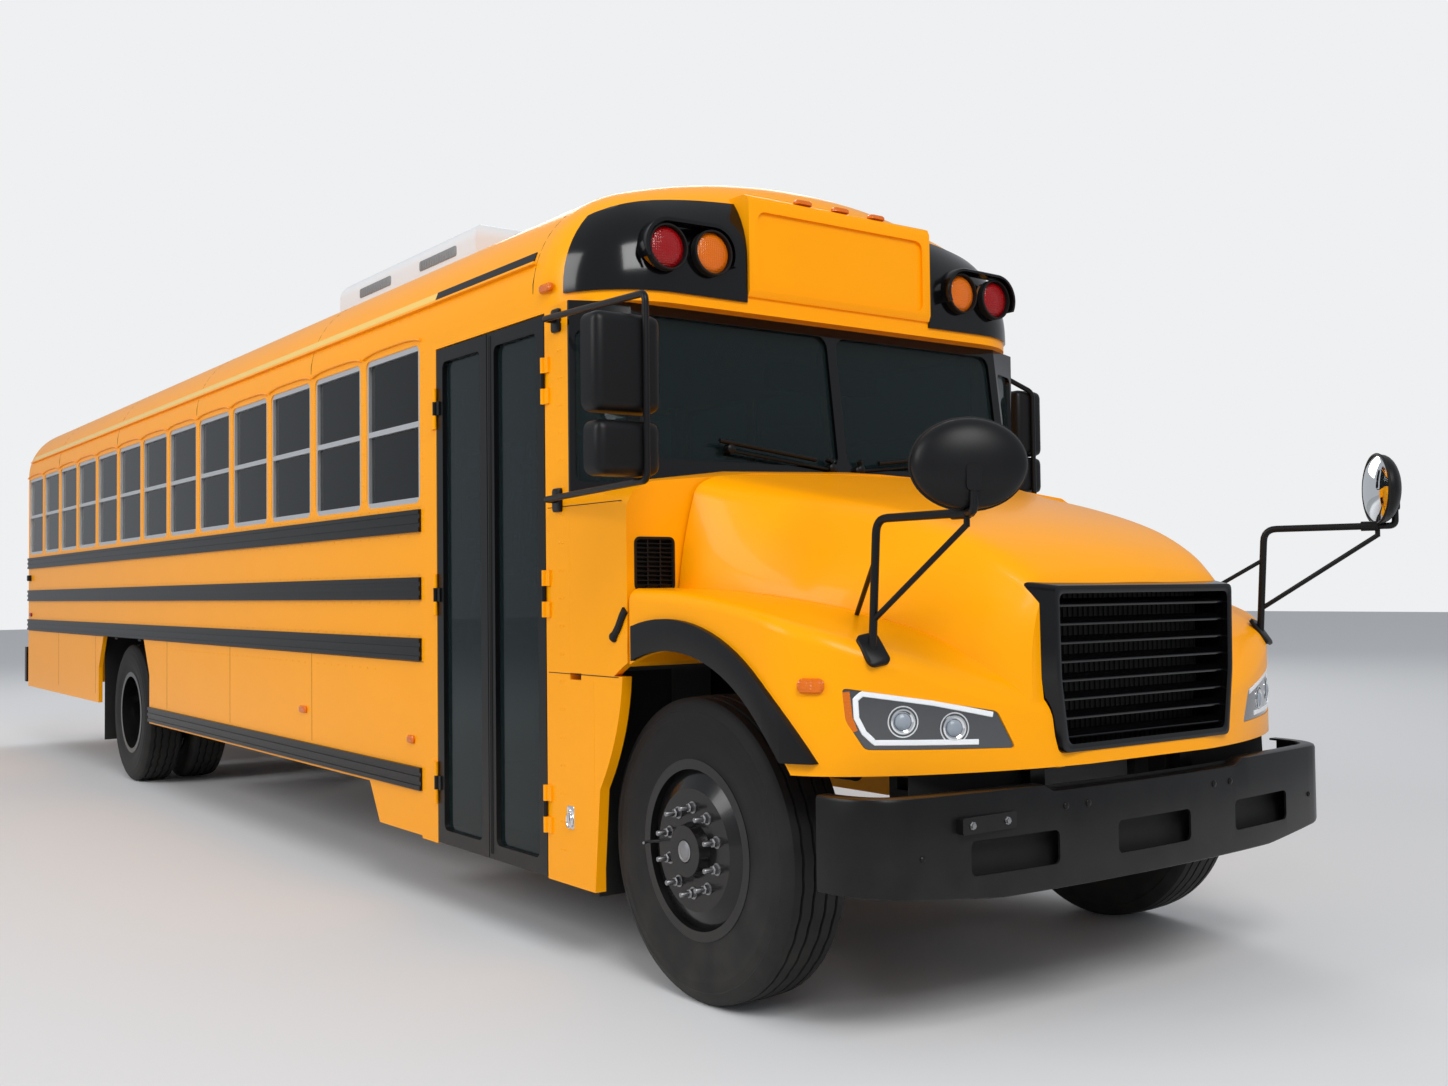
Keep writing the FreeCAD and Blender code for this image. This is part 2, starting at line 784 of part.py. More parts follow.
def make_rear_wall():
    """Rear wall with its rounded corners and cap, its door opening and two windows."""
    low, wall = float(size.skirt_low) + 60, float(size.wall)
    face, radius = float(REAR_FACE), float(size.rear_corner)
    cap_front = float(REAR_FACE - size.rear_cap_length)
    body_front = float(REAR_FACE - size.rear_corner)
    outer = capped_solid(0, low, cap_front, face, radius, False)
    inner = capped_solid(wall, low - 1, cap_front - 1, face - wall, radius - wall, False)
    shell = outer.cut(inner)
    side_clear = Part.makeBox(3000, body_front - cap_front, float(size.shoulder_height) - low,
                              Vector(-1500, cap_front, low))
    shell = shell.cut(side_clear)
    half, door_low = float(size.rear_door_half_width), float(size.rear_door_low)
    door_high = float(size.rear_door_high)
    door = Part.makeBox(2 * half, 200, door_high - door_low, Vector(-half, face - 100, door_low))
    shell = shell.cut(door)
    for side in (-1, 1):
        pane = Part.makeBox(float(size.rear_window_width), 200, float(size.rear_window_tall),
                            Vector(float(rear_window_left(side)), face - 100, float(size.rear_window_low)))
        pane = pane.makeFillet(60, [e for e in pane.Edges if abs(e.tangentAt(0).y) > 0.9])
        shell = shell.cut(pane)
    node("rear_wall", feature("RearWall", shell))


CROSS_MEMBERS = (-820, 1400, 3000, 4600, 6300, 8400, 10400)


def make_chassis():
    """Two channel rails with cross members, and the outriggers that carry the floor."""
    pieces = []
    front, rear = AXLE - size.rail_front, REAR_INNER
    length = rear - front
    flange, web = size.rail_flange, size.rail_web
    tall = size.rail_high - size.rail_low
    for side in (-1, 1):
        tag = "R" if side < 0 else "L"
        out = size.rail_outer_x
        corners = [(out - flange, size.rail_low), (out, size.rail_low), (out, size.rail_high),
                   (out - flange, size.rail_high), (out - flange, size.rail_high - web),
                   (out - web, size.rail_high - web), (out - web, size.rail_low + web),
                   (out - flange, size.rail_low + web)]
        if side < 0:
            corners = [(-x, z) for x, z in reversed(corners)]
        pieces.append(panel(f"Channel{tag}", "XZ_Plane", corners, -front, length, reverse=True))
    node("chassis_frame", grouped("ChassisFrame", pieces))
    pieces = []
    inside = size.rail_outer_x - web
    for index, back in enumerate(CROSS_MEMBERS):
        pieces.append(box(f"Cross{index}", -inside, AXLE + back, size.rail_low + 60, 2 * inside, 90, tall - 120))
    pivot_y, pivot_z = AXLE - size.hood_pivot_y, size.hood_pivot_z
    for side in (-1, 1):
        tag = "R" if side < 0 else "L"
        x = side * 366 - 6
        pieces.append(box(f"HoodArm{tag}", x, pivot_y, pivot_z - 15, 12, 140, 30))
        pieces.append(box(f"HoodArmFoot{tag}", x, pivot_y + 90, pivot_z - 15, 12, 40, 60))
        pieces.append(rod(f"HoodArmEnd{tag}", x, pivot_y, pivot_z, 15, 12, "X"))
        pieces.append(rod(f"HoodPin{tag}", side * 395 - 35, pivot_y, pivot_z, size.hood_pin_radius, 70, "X"))
    gap = SKIRT_TOP - size.rail_high
    for index in range(13):
        y = AXLE + 2200 + size.window_pitch * index
        pieces.append(box(f"Outrigger{index}", -INNER, y, size.rail_high, 2 * INNER, 70, gap))
    node("cross_members", fused("CrossMembers", pieces))


def make_engine():
    """The engine as one block between the rails."""
    half = 320
    block = box("EngineBlock", -half, AXLE - 640, 700, 2 * half, 1080, 700)
    reach = size.rail_outer_x - size.rail_web
    feet = box("EngineFeet", -reach, AXLE - 300, 900, 2 * reach, 100, 80)
    node("engine", fused("Engine", [block, feet]))


def make_fuel_tank():
    tank = box("TankBlock", -1120, AXLE + 3900, 560, 640, 1700, 440)
    reach = 1120 - size.rail_outer_x
    straps = [box(f"TankStrap{back}", -1120, AXLE + back, 850, reach, 60, 80) for back in (4200, 5200)]
    node("fuel_tank", fused("FuelTank", [tank] + straps))


def make_exhaust():
    """Muffler and tailpipe along the left side of the frame."""
    start = AXLE + 1500
    muffler = rod("Muffler", 640, start, 720, 130, 1100, "Y")
    pipe = rod("Tailpipe", 640, start + 1100, 720, 50, REAR_AXLE - 800 - start - 1100, "Y")
    hangers = [box(f"ExhaustHanger{index}", 630, AXLE + 2220 + size.window_pitch * index, 720, 20, 30,
                   size.rail_high - 720) for index in (0, 3, 6)]
    node("exhaust", fused("Exhaust", [muffler, pipe] + hangers))


def make_front_axle():
    """Dropped beam with kingpin eyes and the two leaf springs that it carries."""
    pin, y = size.kingpin_x, AXLE
    low = HUB - 150
    beam = box("Beam", -pin + 45, y - 45, low, 2 * pin - 90, 90, 100)
    pieces = [beam]
    for side in (-1, 1):
        tag = "R" if side < 0 else "L"
        eye = rod(f"Eye{tag}", side * pin, y, low - 20, 45, 140, "Z")
        bore = rod(f"EyeBore{tag}", side * pin, y, low - 21, size.kingpin_radius + size.pin_clearance, 142, "Z")
        pieces.append(cut(f"Knuckle eye{tag}", eye, bore))
        x = side * (size.rail_outer_x - 40) - 40
        pieces.append(box(f"Spring{tag}", x, y - 650, low + 100, 80, 1300, 50))
        pieces.append(box(f"SpringPlate{tag}", x - 20, y - 70, low - 20, 120, 140, 20))
        for end in (-650, 600):
            pieces.append(box(f"Hanger{tag}{end}".replace("-", "m"), x, y + end, low + 150, 80, 50,
                              size.rail_low - low - 150))
    node("front_axle", fused("FrontAxle", pieces))


def make_rear_axle():
    """Axle housing with its differential, leaf springs and the drive shaft."""
    y = REAR_AXLE
    reach = size.dual_outer_x - size.dual_spacing - 60
    pieces = [
        rod("Housing", -reach, y, HUB, 75, 2 * reach, "X"),
        rod("Spindles", 60 - size.dual_outer_x, y, HUB, size.spindle_radius, 2 * size.dual_outer_x - 120, "X"),
        rod("Differential", -110, y, HUB, 210, 220, "X"),
        rod("DriveShaft", 0, AXLE + 470, 640, 45, REAR_AXLE - 150 - AXLE - 470, "Y"),
        box("Pinion", -60, y - 320, HUB - 40, 120, 240, 200),
    ]
    for side in (-1, 1):
        tag = "R" if side < 0 else "L"
        x = side * (size.rail_outer_x - 40) - 40
        pieces.append(box(f"RearSpring{tag}", x, y - 700, HUB + 70, 80, 1400, 80))
        pieces.append(box(f"RearSpringPlate{tag}", x - 20, y - 90, HUB - 105, 120, 180, 40))
        for end in (-700, 650):
            pieces.append(box(f"RearHanger{tag}{end}".replace("-", "m"), x, y + end, HUB + 150, 80, 50,
                              size.rail_low - HUB - 150))
    node("rear_axle", fused("RearAxle", pieces))


def tyre_body(name, x, y):
    """One tyre, turned about the axle: rounded shoulders and bulged sidewalls."""
    radius, half, bead = size.tyre_radius, size.tyre_width / 2, size.bead_width / 2
    body = new_body(name)
    profile = sketch_on(body, "XZ_Plane", name + "_profile", 0)
    corners = [
        (-bead, size.bead_radius), (bead, size.bead_radius), (bead, size.bead_radius + 14, 200),
        (half, radius - 110, 260), (half - 22, radius - 20, 24), (half - 44, radius),
        (44 - half, radius, 24), (22 - half, radius - 20, 260), (-half, radius - 110, 200),
        (-bead, size.bead_radius + 14),
    ]
    outline(profile, corners)
    turned = body.newObject("PartDesign::Revolution", name + "_turned")
    turned.Profile = profile
    turned.ReferenceAxis = (profile, ["H_Axis"])
    turned.Angle = 360
    place(body, x, y, HUB)
    return body


def rim_body(name, x, y, points):
    """One disc wheel turned from the profile points (across, radius)."""
    body = new_body(name)
    profile = sketch_on(body, "XZ_Plane", name + "_profile", 0)
    outline(profile, points)
    turned = body.newObject("PartDesign::Revolution", name + "_turned")
    turned.Profile = profile
    turned.ReferenceAxis = (profile, ["H_Axis"])
    turned.Angle = 360
    place(body, x, y, HUB)
    return body


def rim_barrel():
    """The rim's outer side, from its inboard flange to its outboard one."""
    bead, half, wall = size.bead_radius, size.bead_width / 2, 8
    flange = bead + 12
    return [(-half - wall, flange), (-half, flange), (-half, bead), (half, bead), (half, flange),
            (half + wall, flange), (half + wall, bead - 22)]


def front_rim_points(out):
    """A front wheel: the disc stands outboard, with the hub through it and a drum behind."""
    bore, inside = size.spindle_radius + size.pin_clearance, size.bead_radius - 22
    half = size.bead_width / 2
    drum, back = size.drum_radius, size.kingpin_x + 87 - size.front_wheel_x
    points = rim_barrel() + [
        (97, inside), (128, 205), (128, 95), (165, 85), (165, bore), (back, bore), (back, drum),
        (40, drum), (40, 110), (116, 110), (116, 200), (86, inside), (-half - 8, inside),
    ]
    return [(out * across, up) for across, up in points]


def rear_rim_points(out):
    """A rear wheel: the disc stands inboard, against the disc of its twin."""
    bore, inside = size.spindle_radius + size.pin_clearance, size.bead_radius - 22
    face = size.dual_spacing / 2
    points = rim_barrel() + [
        (-85, inside), (12 - face, 205), (12 - face, 100), (-20, 90), (-20, bore), (-face, bore),
        (-face, 215), (-size.bead_width / 2 - 8, inside - 8),
    ]
    return [(out * across, up) for across, up in points]


def make_wheels():
    """Single front wheels on the knuckles and twin rear wheels on the axle."""
    for label, side in (("right", -1), ("left", 1)):
        x = side * size.front_wheel_x
        node(f"front_tyre_{label}", tyre_body(f"FrontTyre_{label}", x, AXLE))
        node(f"front_rim_{label}", rim_body(f"FrontRim_{label}", x, AXLE, front_rim_points(side)))
        outer = side * size.dual_outer_x
        inner = side * (size.dual_outer_x - size.dual_spacing)
        tyres = [tyre_body(f"OuterTyre_{label}", outer, REAR_AXLE), tyre_body(f"InnerTyre_{label}", inner, REAR_AXLE)]
        node(f"rear_tyres_{label}", grouped(f"RearTyres_{label}", tyres))
        rims = [rim_body(f"OuterRim_{label}", outer, REAR_AXLE, rear_rim_points(side)),
                rim_body(f"InnerRim_{label}", inner, REAR_AXLE, rear_rim_points(-side))]
        node(f"rear_rims_{label}", fused(f"RearRims_{label}", rims))


def make_knuckles():
    """Steering knuckles: a yoke round the axle's eye, a kingpin, a spindle and a steering arm."""
    low = HUB - 170
    pin = size.kingpin_x
    for label, side in (("right", -1), ("left", 1)):
        x = side * pin
        tag = label[0].upper()
        pieces = [
            rod(f"Kingpin{tag}", x, AXLE, low - 30, size.kingpin_radius, 200, "Z"),
            rod(f"YokeLow{tag}", x, AXLE, low - 50, 48, 44, "Z"),
            rod(f"YokeHigh{tag}", x, AXLE, low + 146, 48, 80, "Z"),
            box(f"YokeBack{tag}", x + (side * 62 - 14), AXLE - 48, low - 50, 28, 96, 276),
            box(f"YokeLowTie{tag}", x + (31 * side - 31), AXLE - 40, low - 50, 62, 80, 44),
            box(f"YokeHighTie{tag}", x + (31 * side - 31), AXLE - 40, low + 146, 62, 80, 80),
            rod(f"Spindle{tag}", x + 50 if side > 0 else x - 310, AXLE, HUB, size.spindle_radius, 260, "X"),
            box(f"Arm{tag}", x - 20, AXLE + 30, low - 50, 40, size.arm_length, 28),
            rod(f"Stud{tag}", x, AXLE + size.arm_length, low - 95, size.stud_radius, 50, "Z"),
        ]
        node(f"knuckle_{label}", fused(f"KnuckleSolid{tag}", pieces))
    y, centre = AXLE + size.arm_length, low - 75
    tie = rod("TieBar", 20 - pin, y, centre, 16, 2 * pin - 40, "X")
    ends = []
    for side in (-1, 1):
        boss = rod(f"TieBoss{side + 1}", side * pin, y, centre - 18, 21, 38, "Z")
        bore = rod(f"TieBore{side + 1}", side * pin, y, centre - 19,
                   size.stud_radius + size.pin_clearance, 40, "Z")
        ends.append((boss, bore))
    solid = fused("TieSolid", [tie] + [boss for boss, bore in ends])
    bores = fused("TieBores", [bore for boss, bore in ends])
    node("tie_rod", cut("TieRod", solid, bores))


HOOD_STATIONS = [
    # back from the axle, top, crest across, crest up, foot across
    (490, 1868, 905, 1822, 985),
    (200, 1822, 860, 1775, 950),
    (-200, 1745, 780, 1695, 885),
    (-550, 1652, 680, 1600, 790),
    (-800, 1528, 580, 1478, 670),
    (-930, 1390, 510, 1345, 575),
    (-985, 1240, 480, 1215, 505),
]


def hood_section(station, inset, low):
    """One closed cross-section of the hood's raised middle."""
    back, top, crest_x, crest_z, foot_x = station
    y = float(AXLE) + back
    side = Vector(foot_x - crest_x, 0, low - crest_z)
    foot = Vector(foot_x - inset, y, low)
    shoulder = Vector(crest_x - inset, y, crest_z - inset) + side * 0.09
    crest = Vector(crest_x * 0.91 - inset, y, crest_z - inset + (top - crest_z) * 0.3)
    corner = Vector(crest_x - inset - 8, y, crest_z - inset)
    middle = Vector(0, y, top - inset)
    flip = lambda spot: Vector(-spot.x, spot.y, spot.z)
    bend = Part.BezierCurve()
    bend.setPoles([shoulder, corner, crest])
    bend_left = Part.BezierCurve()
    bend_left.setPoles([flip(crest), flip(corner), flip(shoulder)])
    edges = [
        Part.LineSegment(flip(foot), foot).toShape(),
        Part.LineSegment(foot, shoulder).toShape(),
        bend.toShape(),
        Part.Arc(crest, middle, flip(crest)).toShape(),
        bend_left.toShape(),
        Part.LineSegment(flip(shoulder), flip(foot)).toShape(),
    ]
    return Part.Wire(edges)


def hood_middle(inset):
    low = float(size.hood_low) - (1 if inset else 0)
    stations = []
    for index, station in enumerate(HOOD_STATIONS):
        back = station[0]
        if inset and index == 0:
            back += 5
        if inset:
            back += inset * (1 if index == len(HOOD_STATIONS) - 1 else 0.5 if index == len(HOOD_STATIONS) - 2 else 0)
        stations.append((back,) + station[1:])
    return Part.makeLoft([hood_section(station, inset, low) for station in stations], True, False)


def fender_block(inset):
    """Both fenders as one block: a side outline crossed with a plan outline."""
    axle = float(AXLE)
    rear = axle + float(size.hood_rear) + (5 if inset else 0)
    front = axle - float(size.hood_front) + inset
    low = float(size.fender_low) - (5 if inset else 0)
    half = float(size.fender_half_width) - inset
    top = [Vector(0, rear, 1392 - inset), Vector(0, axle - 150, 1350 - inset), Vector(0, axle - 560, 1235 - inset),
           Vector(0, axle - 800, 1130 - inset), Vector(0, front + 20, 1020 - inset)]
    ridge = Part.BSplineCurve()
    ridge.interpolate(top)
    nose = Part.BezierCurve()
    nose.setPoles([top[-1], Vector(0, front, 980 - inset), Vector(0, front, 900)])
    foot_rear, foot_front = Vector(0, rear, low), Vector(0, front, low)
    side = Part.Face(Part.Wire([
        ridge.toShape(), nose.toShape(), Part.LineSegment(Vector(0, front, 900), foot_front).toShape(),
        Part.LineSegment(foot_front, foot_rear).toShape(), Part.LineSegment(foot_rear, top[0]).toShape()]))
    side_solid = side.extrude(Vector(2 * half, 0, 0))
    side_solid.translate(Vector(-half, 0, 0))
    corner = Part.BezierCurve()
    corner.setPoles([Vector(half, axle - 330, 0), Vector(half, axle - 700 + inset, 0),
                     Vector(900, axle - 830 + inset, 0), Vector(620, front + 10, 0), Vector(300, front, 0)])
    corner_left = Part.BezierCurve()
    corner_left.setPoles([Vector(-pole.x, pole.y, 0) for pole in reversed(corner.getPoles())])
    plan = Part.Face(Part.Wire([
        Part.LineSegment(Vector(half, rear, 0), Vector(half, axle - 330, 0)).toShape(), corner.toShape(),
        Part.LineSegment(Vector(300, front, 0), Vector(-300, front, 0)).toShape(), corner_left.toShape(),
        Part.LineSegment(Vector(-half, axle - 330, 0), Vector(-half, rear, 0)).toShape(),
        Part.LineSegment(Vector(-half, rear, 0), Vector(half, rear, 0)).toShape()]))
    plan_solid = plan.extrude(Vector(0, 0, 2000))
    block = side_solid.common(plan_solid)
    return block


def make_hood():
    """One-piece tilting hood: raised middle, two fenders and the wheel arches."""
    outer = hood_middle(0).fuse(fender_block(0))
    skin = float(size.hood_skin)
    shell = outer.cut(hood_middle(skin)).cut(fender_block(skin))
    axle = float(AXLE)
    arch = Part.makeCylinder(float(size.arch_radius), 3000, Vector(-1500, axle, float(HUB)), Vector(1, 0, 0))
    keep = Part.makeBox(3000, float(size.arch_rear) + 2000, 3000, Vector(-1500, axle - 2000, 0))
    shell = shell.cut(arch.common(keep))
    below = Part.makeBox(3000, float(size.arch_rear) + 2000, float(size.hood_low), Vector(-1500, axle - 2000, 0))
    shell = shell.cut(below)
    half, low, high = float(size.grille_half_width), float(size.grille_low), float(size.grille_high)
    opening = Part.makeBox(2 * half, 400, high - low, Vector(-half, axle - 1100, low))
    shell = shell.cut(opening)
    for side in (-1, 1):
        shell = shell.cut(headlamp_block(side, 0))
    solids = sorted(shell.Solids, key=lambda solid: solid.Volume)
    hood = solids[-1]
    pivot = Vector(0, axle - float(size.hood_pivot_y), float(size.hood_pivot_z))
    for side in (-1, 1):
        centre = pivot + Vector(side * 400 - 14, 0, 0)
        lug = Part.makeBox(28, 34, 26, centre + Vector(0, -30, -10))
        lug = lug.fuse(Part.makeCylinder(18, 28, centre, Vector(1, 0, 0)))
        bore = Part.makeCylinder(float(size.hood_pin_radius) + 0.5, 40, centre - Vector(6, 0, 0), Vector(1, 0, 0))
        hood = hood.fuse(lug).cut(bore)
    node("hood", feature("Hood", hood))


def headlamp_block(side, clearance):
    """The slanted pocket that a headlamp fills."""
    axle = float(AXLE)
    corners = [(640, 905), (1085, 905), (1110, 1085), (670, 1010)]
    return wire_face([Vector(side * x, axle - 1000, z) for x, z in corners]).extrude(Vector(0, 450, 0))


def make_headlamps():
    """Headlamps, flush in the slanted pockets of the fenders."""
    lamps = []
    body = fender_block(2)
    core = fender_block(60)
    for side in (-1, 1):
        lamp = headlamp_block(side, 0).common(body).cut(core)
        lamps.append(max(lamp.Solids, key=lambda solid: solid.Volume))
    node("headlamps", feature("Headlamps", Part.makeCompound(lamps)))


def make_grille():
    """Grille: a frame with horizontal slats and a middle bar."""
    half, low, high = size.grille_half_width, size.grille_low, size.grille_high
    front = AXLE - size.hood_front
    corners = [(-half, low), (half, low), (half, high), (-half, high)]
    inner = [(-half + 30, low + 30), (half - 30, low + 30), (half - 30, high - 30), (-half + 30, high - 30)]
    frame = panel("GrilleFrame", "XZ_Plane", corners, -front - 70, 40, [inner], reverse=True)
    pieces = [frame]
    for index in range(5):
        z = low + 30 + (high - low - 60) / 6 * (index + 1) - 12
        pieces.append(box(f"Slat{index}", -half + 30, front + 78, z, 2 * half - 60, 26, 24))
    node("grille", fused("Grille", pieces))


def make_flares():
    """Black flares round the front wheel arches."""
    axle, hub = float(AXLE), float(HUB)
    radius = float(size.arch_radius)
    pieces = []
    for side in (-1, 1):
        x = side * float(size.fender_half_width)
        x0 = x if side > 0 else x - 22
        ring = Part.makeCylinder(radius + 85, 22, Vector(x0, axle, hub), Vector(1, 0, 0))
        ring = ring.cut(Part.makeCylinder(radius, 22, Vector(x0, axle, hub), Vector(1, 0, 0)))
        keep = Part.makeBox(22, 270 + 330, 900, Vector(x0, axle - 330, hub + 330))
        pieces.append(max(ring.common(keep).Solids, key=lambda solid: solid.Volume))
    node("fender_flares", feature("FenderFlares", Part.makeCompound(pieces)))


def bent_tube(points, radius, bend):
    """A round tube along straight runs, with an arc of the given bend radius at every turn."""
    edges = []
    start = points[0]
    for before, turn, after in zip(points, points[1:], points[2:]):
        back, ahead = (before - turn).normalize(), (after - turn).normalize()
        half_angle = back.getAngle(ahead) / 2
        reach = bend / math.tan(half_angle)
        middle = (back + ahead).normalize()
        centre = turn + middle * (bend / math.sin(half_angle))
        enter, leave = turn + back * reach, turn + ahead * reach
        edges.append(Part.LineSegment(start, enter).toShape())
        edges.append(Part.Arc(enter, centre - middle * bend, leave).toShape())
        start = leave
    edges.append(Part.LineSegment(start, points[-1]).toShape())
    ring = Part.Wire(Part.Circle(points[0], points[1] - points[0], radius).toShape())
    return Part.Wire(edges).makePipeShell([ring], True, False)


def tube(points, radius):
    """A round tube along straight runs, with a ball at every turn."""
    solid = None
    for start, end in zip(points, points[1:]):
        run = Part.makeCylinder(radius, (end - start).Length, start, end - start)
        solid = run if solid is None else solid.fuse(run)
    for turn in points[1:-1]:
        solid = solid.fuse(Part.makeSphere(radius, turn))
    return solid


def make_crossview_mirrors():
    """Oval mirrors ahead of the fenders, on bent arms."""
    axle = float(AXLE)
    reach = float(size.mirror_reach)
    fender = fender_block(0)
    pieces = []
    for side in (-1, 1):
        base = Vector(side * 1010, axle - 560, 1225)
        elbow = Vector(side * 1004, axle - 660, 1600)
        tip = Vector(side * 1062, axle - reach + 70, 1712)
        arm = tube([base, elbow, tip], 12).cut(fender)
        dish = Part.makeSphere(1)
        matrix = FreeCAD.Matrix()
        matrix.scale(130, 60, 165)
        dish = dish.transformGeometry(matrix)
        dish.translate(Vector(side * 1066, axle - reach + 60, 1723))
        pieces.append(arm.fuse(dish))
    node("crossview_mirrors", feature("CrossviewMirrors", Part.makeCompound(pieces)))


def make_side_mirrors():
    """Rear-view mirrors on tubular brackets at the front posts."""
    axle = float(AXLE)
    pieces = []
    for side in (-1, 1):
        x = side * float(HALF)
        high = Vector(x, axle + 762, 2433)
        low = Vector(x, axle + 728, 1700)
        step = Vector(side * 70, 0, 0)
        out_high = Vector(side * 1400, axle + 45, 2380)
        out_low = Vector(side * 1400, axle + 45, 1740)
        bracket = bent_tube([high, high + step, out_high, out_low, low + step, low], 12, 36)
        big = Part.makeBox(200, 70, 320, Vector(side * 1450 - 100, axle - 30, 1965))
        big = big.makeFillet(25, big.Edges)
        small = Part.makeBox(185, 70, 180, Vector(side * 1450 - 92, axle - 30, 1765))
        small = small.makeFillet(25, small.Edges)
        pieces.append(bracket.fuse(big).fuse(small))
    node("side_mirrors", feature("SideMirrors", Part.makeCompound(pieces)))


def bumper_plan(inset):
    """Plan of the front bumper's skin from one end to the other."""
    axle = float(AXLE)
    half = float(size.bumper_half_width) - inset
    front = axle - float(size.bumper_front) + inset
    corner = axle - float(size.bumper_corner_y) + inset
    end = axle - float(size.bumper_end_y)
    return front, corner, end, half


def make_front_bumper():
    """Channel bumper, bowed across the front and wrapped round both corners."""
    low, high = float(size.bumper_low), float(size.bumper_high)
    solids = []
    for inset in (0, float(size.bumper_thickness)):
        front, corner, end, half = bumper_plan(inset)
        bow = Part.Arc(Vector(-1020 + inset, corner, 0), Vector(0, front, 0), Vector(1020 - inset, corner, 0)).toShape()
        right = Part.BezierCurve()
        right.setPoles([Vector(1020 - inset, corner, 0), Vector(half - 20, corner + 30, 0), Vector(half, end, 0)])
        left = Part.BezierCurve()
        left.setPoles([Vector(-half, end, 0), Vector(-half + 20, corner + 30, 0), Vector(-1020 + inset, corner, 0)])
        back = Part.LineSegment(Vector(half, end, 0), Vector(-half, end, 0)).toShape()
        face = Part.Face(Part.Wire([left.toShape(), bow, right.toShape(), back]))
        grow = 0 if inset == 0 else 1
        solid = face.extrude(Vector(0, 0, high - low + 2 * grow))
        solid.translate(Vector(0, 0, low - grow))
        solids.append(solid)
    shell = solids[0].cut(solids[1])
    axle = float(AXLE)
    for left in (-775, 400):
        slot = Part.makeBox(375, 300, 102, Vector(left, axle - 1150, 515))
        shell = shell.cut(slot)
    middle = Part.makeBox(700, 300, 102, Vector(-350, axle - 1150, 515))
    shell = shell.cut(middle)
    for side in (-1, 1):
        x = side * 390 - 35
        bracket = Part.makeBox(70, 230, 140, Vector(x, axle - 1020, 620))
        seat = Part.makeBox(70, 50, float(size.rail_low) - 700, Vector(x, axle - 840, 700))
        shell = shell.fuse(bracket).fuse(seat)
    plate_x, plate_z = -620, 660
    plate = Part.makeBox(190, 60, 50, Vector(plate_x - 95, axle - float(size.bumper_front) + 4, plate_z - 25))
    shell = shell.fuse(plate.cut(solids[1]))
    spacing = float(size.plate_bolt_spacing) / 2
    for across in (-spacing, spacing):
        hole = Part.makeCylinder(float(size.plate_bolt_radius), 120,
                                 Vector(plate_x + across, axle - 1050, plate_z), Vector(0, 1, 0))
        shell = shell.cut(hole)
    node("front_bumper", feature("FrontBumper", shell))


def make_rear_bumper():
    """Channel bumper across the rear, wrapped round both corners."""
    depth = size.rear_bumper_depth
    corners = [
        (-HALF, REAR_FACE - size.rear_corner - 160), (-HALF + 12, REAR_FACE - size.rear_corner - 160),
    ]
    low, tall = size.rear_bumper_low, size.rear_bumper_high - size.rear_bumper_low
    node("rear_bumper", box("RearBumper", -HALF, REAR_FACE, low, size.body_width, depth, tall))


def make_seats():
    """Two columns of bench seats along the aisle: cushions, backs and legs."""
    width = INNER - size.seat_aisle - 6
    cushions, backs, legs = [], [], []
    low = size.seat_cushion_high - size.seat_cushion_depth
    for side in (-1, 1):
        x = size.seat_aisle if side > 0 else -size.seat_aisle - width
        for index in range(int(size.seat_count)):
            rear = AXLE + size.seat_first_back + size.window_pitch * index
            tag = f"{side + 1}_{index}"
            cushions.append(box(f"Cushion{tag}", x, rear - 400, low, width, 400, size.seat_cushion_depth))
            backs.append(box(f"Back{tag}", x, rear, low, width, 90, size.seat_back_high - low))
            legs.append(box(f"Leg{tag}", x + width / 2 - 20, rear - 300, size.floor_height, 40, 260,
                            low - size.floor_height))
    node("seat_cushions", grouped("SeatCushions", cushions))
    node("seat_backs", grouped("SeatBacks", backs))
    node("seat_legs", grouped("SeatLegs", legs))


def make_driver_area():
    """Driver's seat, dashboard and steering wheel."""
    seat_y = AXLE + 1250
    pieces = [
        box("DriverBase", 560, seat_y + 60, size.floor_height, 300, 300, 330),
        box("DriverCushion", 480, seat_y, size.floor_height + 330, 460, 460, 110),
        box("DriverBack", 480, seat_y + 400, size.floor_height + 440, 460, 110, 680),
    ]
    node("driver_seat", fused("DriverSeat", pieces))
    dash = box("Dash", -430, AXLE + size.cowl_front + size.wall, 1560, 1600, 260, 200)
    column = rod("Column", 710, AXLE + 980, size.floor_height, 25, 650, "Z")
    hub = rod("WheelHub", 710, AXLE + 980, 1760, 60, 40, "Z")
    wheel = doc.addObject("Part::Torus", "WheelRing")
    wheel.Radius1 = 220
    wheel.Radius2 = 14
    place(wheel, 710, AXLE + 980, 1790)
    spoke = box("Spoke", 490, AXLE + 970, 1780, 440, 20, 14)
    panel_tie = box("ColumnTie", 680, AXLE + 800, 1600, 60, 180, 100)
    node("dashboard", fused("Dashboard", [dash, column, hub, wheel, spoke, panel_tie]))


def make_roof_units():
    """Air-conditioning housing on the roof, seated on its curve."""
    top = 3300
    front, rear = float(AXLE) + 2600, float(AXLE) + 4450
    block = Part.makeBox(1300, rear - front, top - 2900, Vector(-650, front, 2900))
    block = block.makeFillet(90, [e for e in block.Edges if e.BoundBox.ZMin > 2901])
    roof = section_solid(0, 2000, front - 100, rear + 100)
    node("roof_units", feature("RoofUnits", block.cut(roof)))


def make_roof_hatch():
    """Escape hatch lid on the rear half of the roof."""
    y = float(AXLE) + 9400
    block = Part.makeBox(620, 620, 160, Vector(-310, y - 310, float(ROOF_TOP) - 60))
    block = block.makeFillet(40, [e for e in block.Edges if e.BoundBox.ZMin > float(ROOF_TOP)])
    roof = section_solid(-0.3, 2000, y - 500, y + 500)
    node("roof_hatch", feature("RoofHatch", block.cut(roof)))


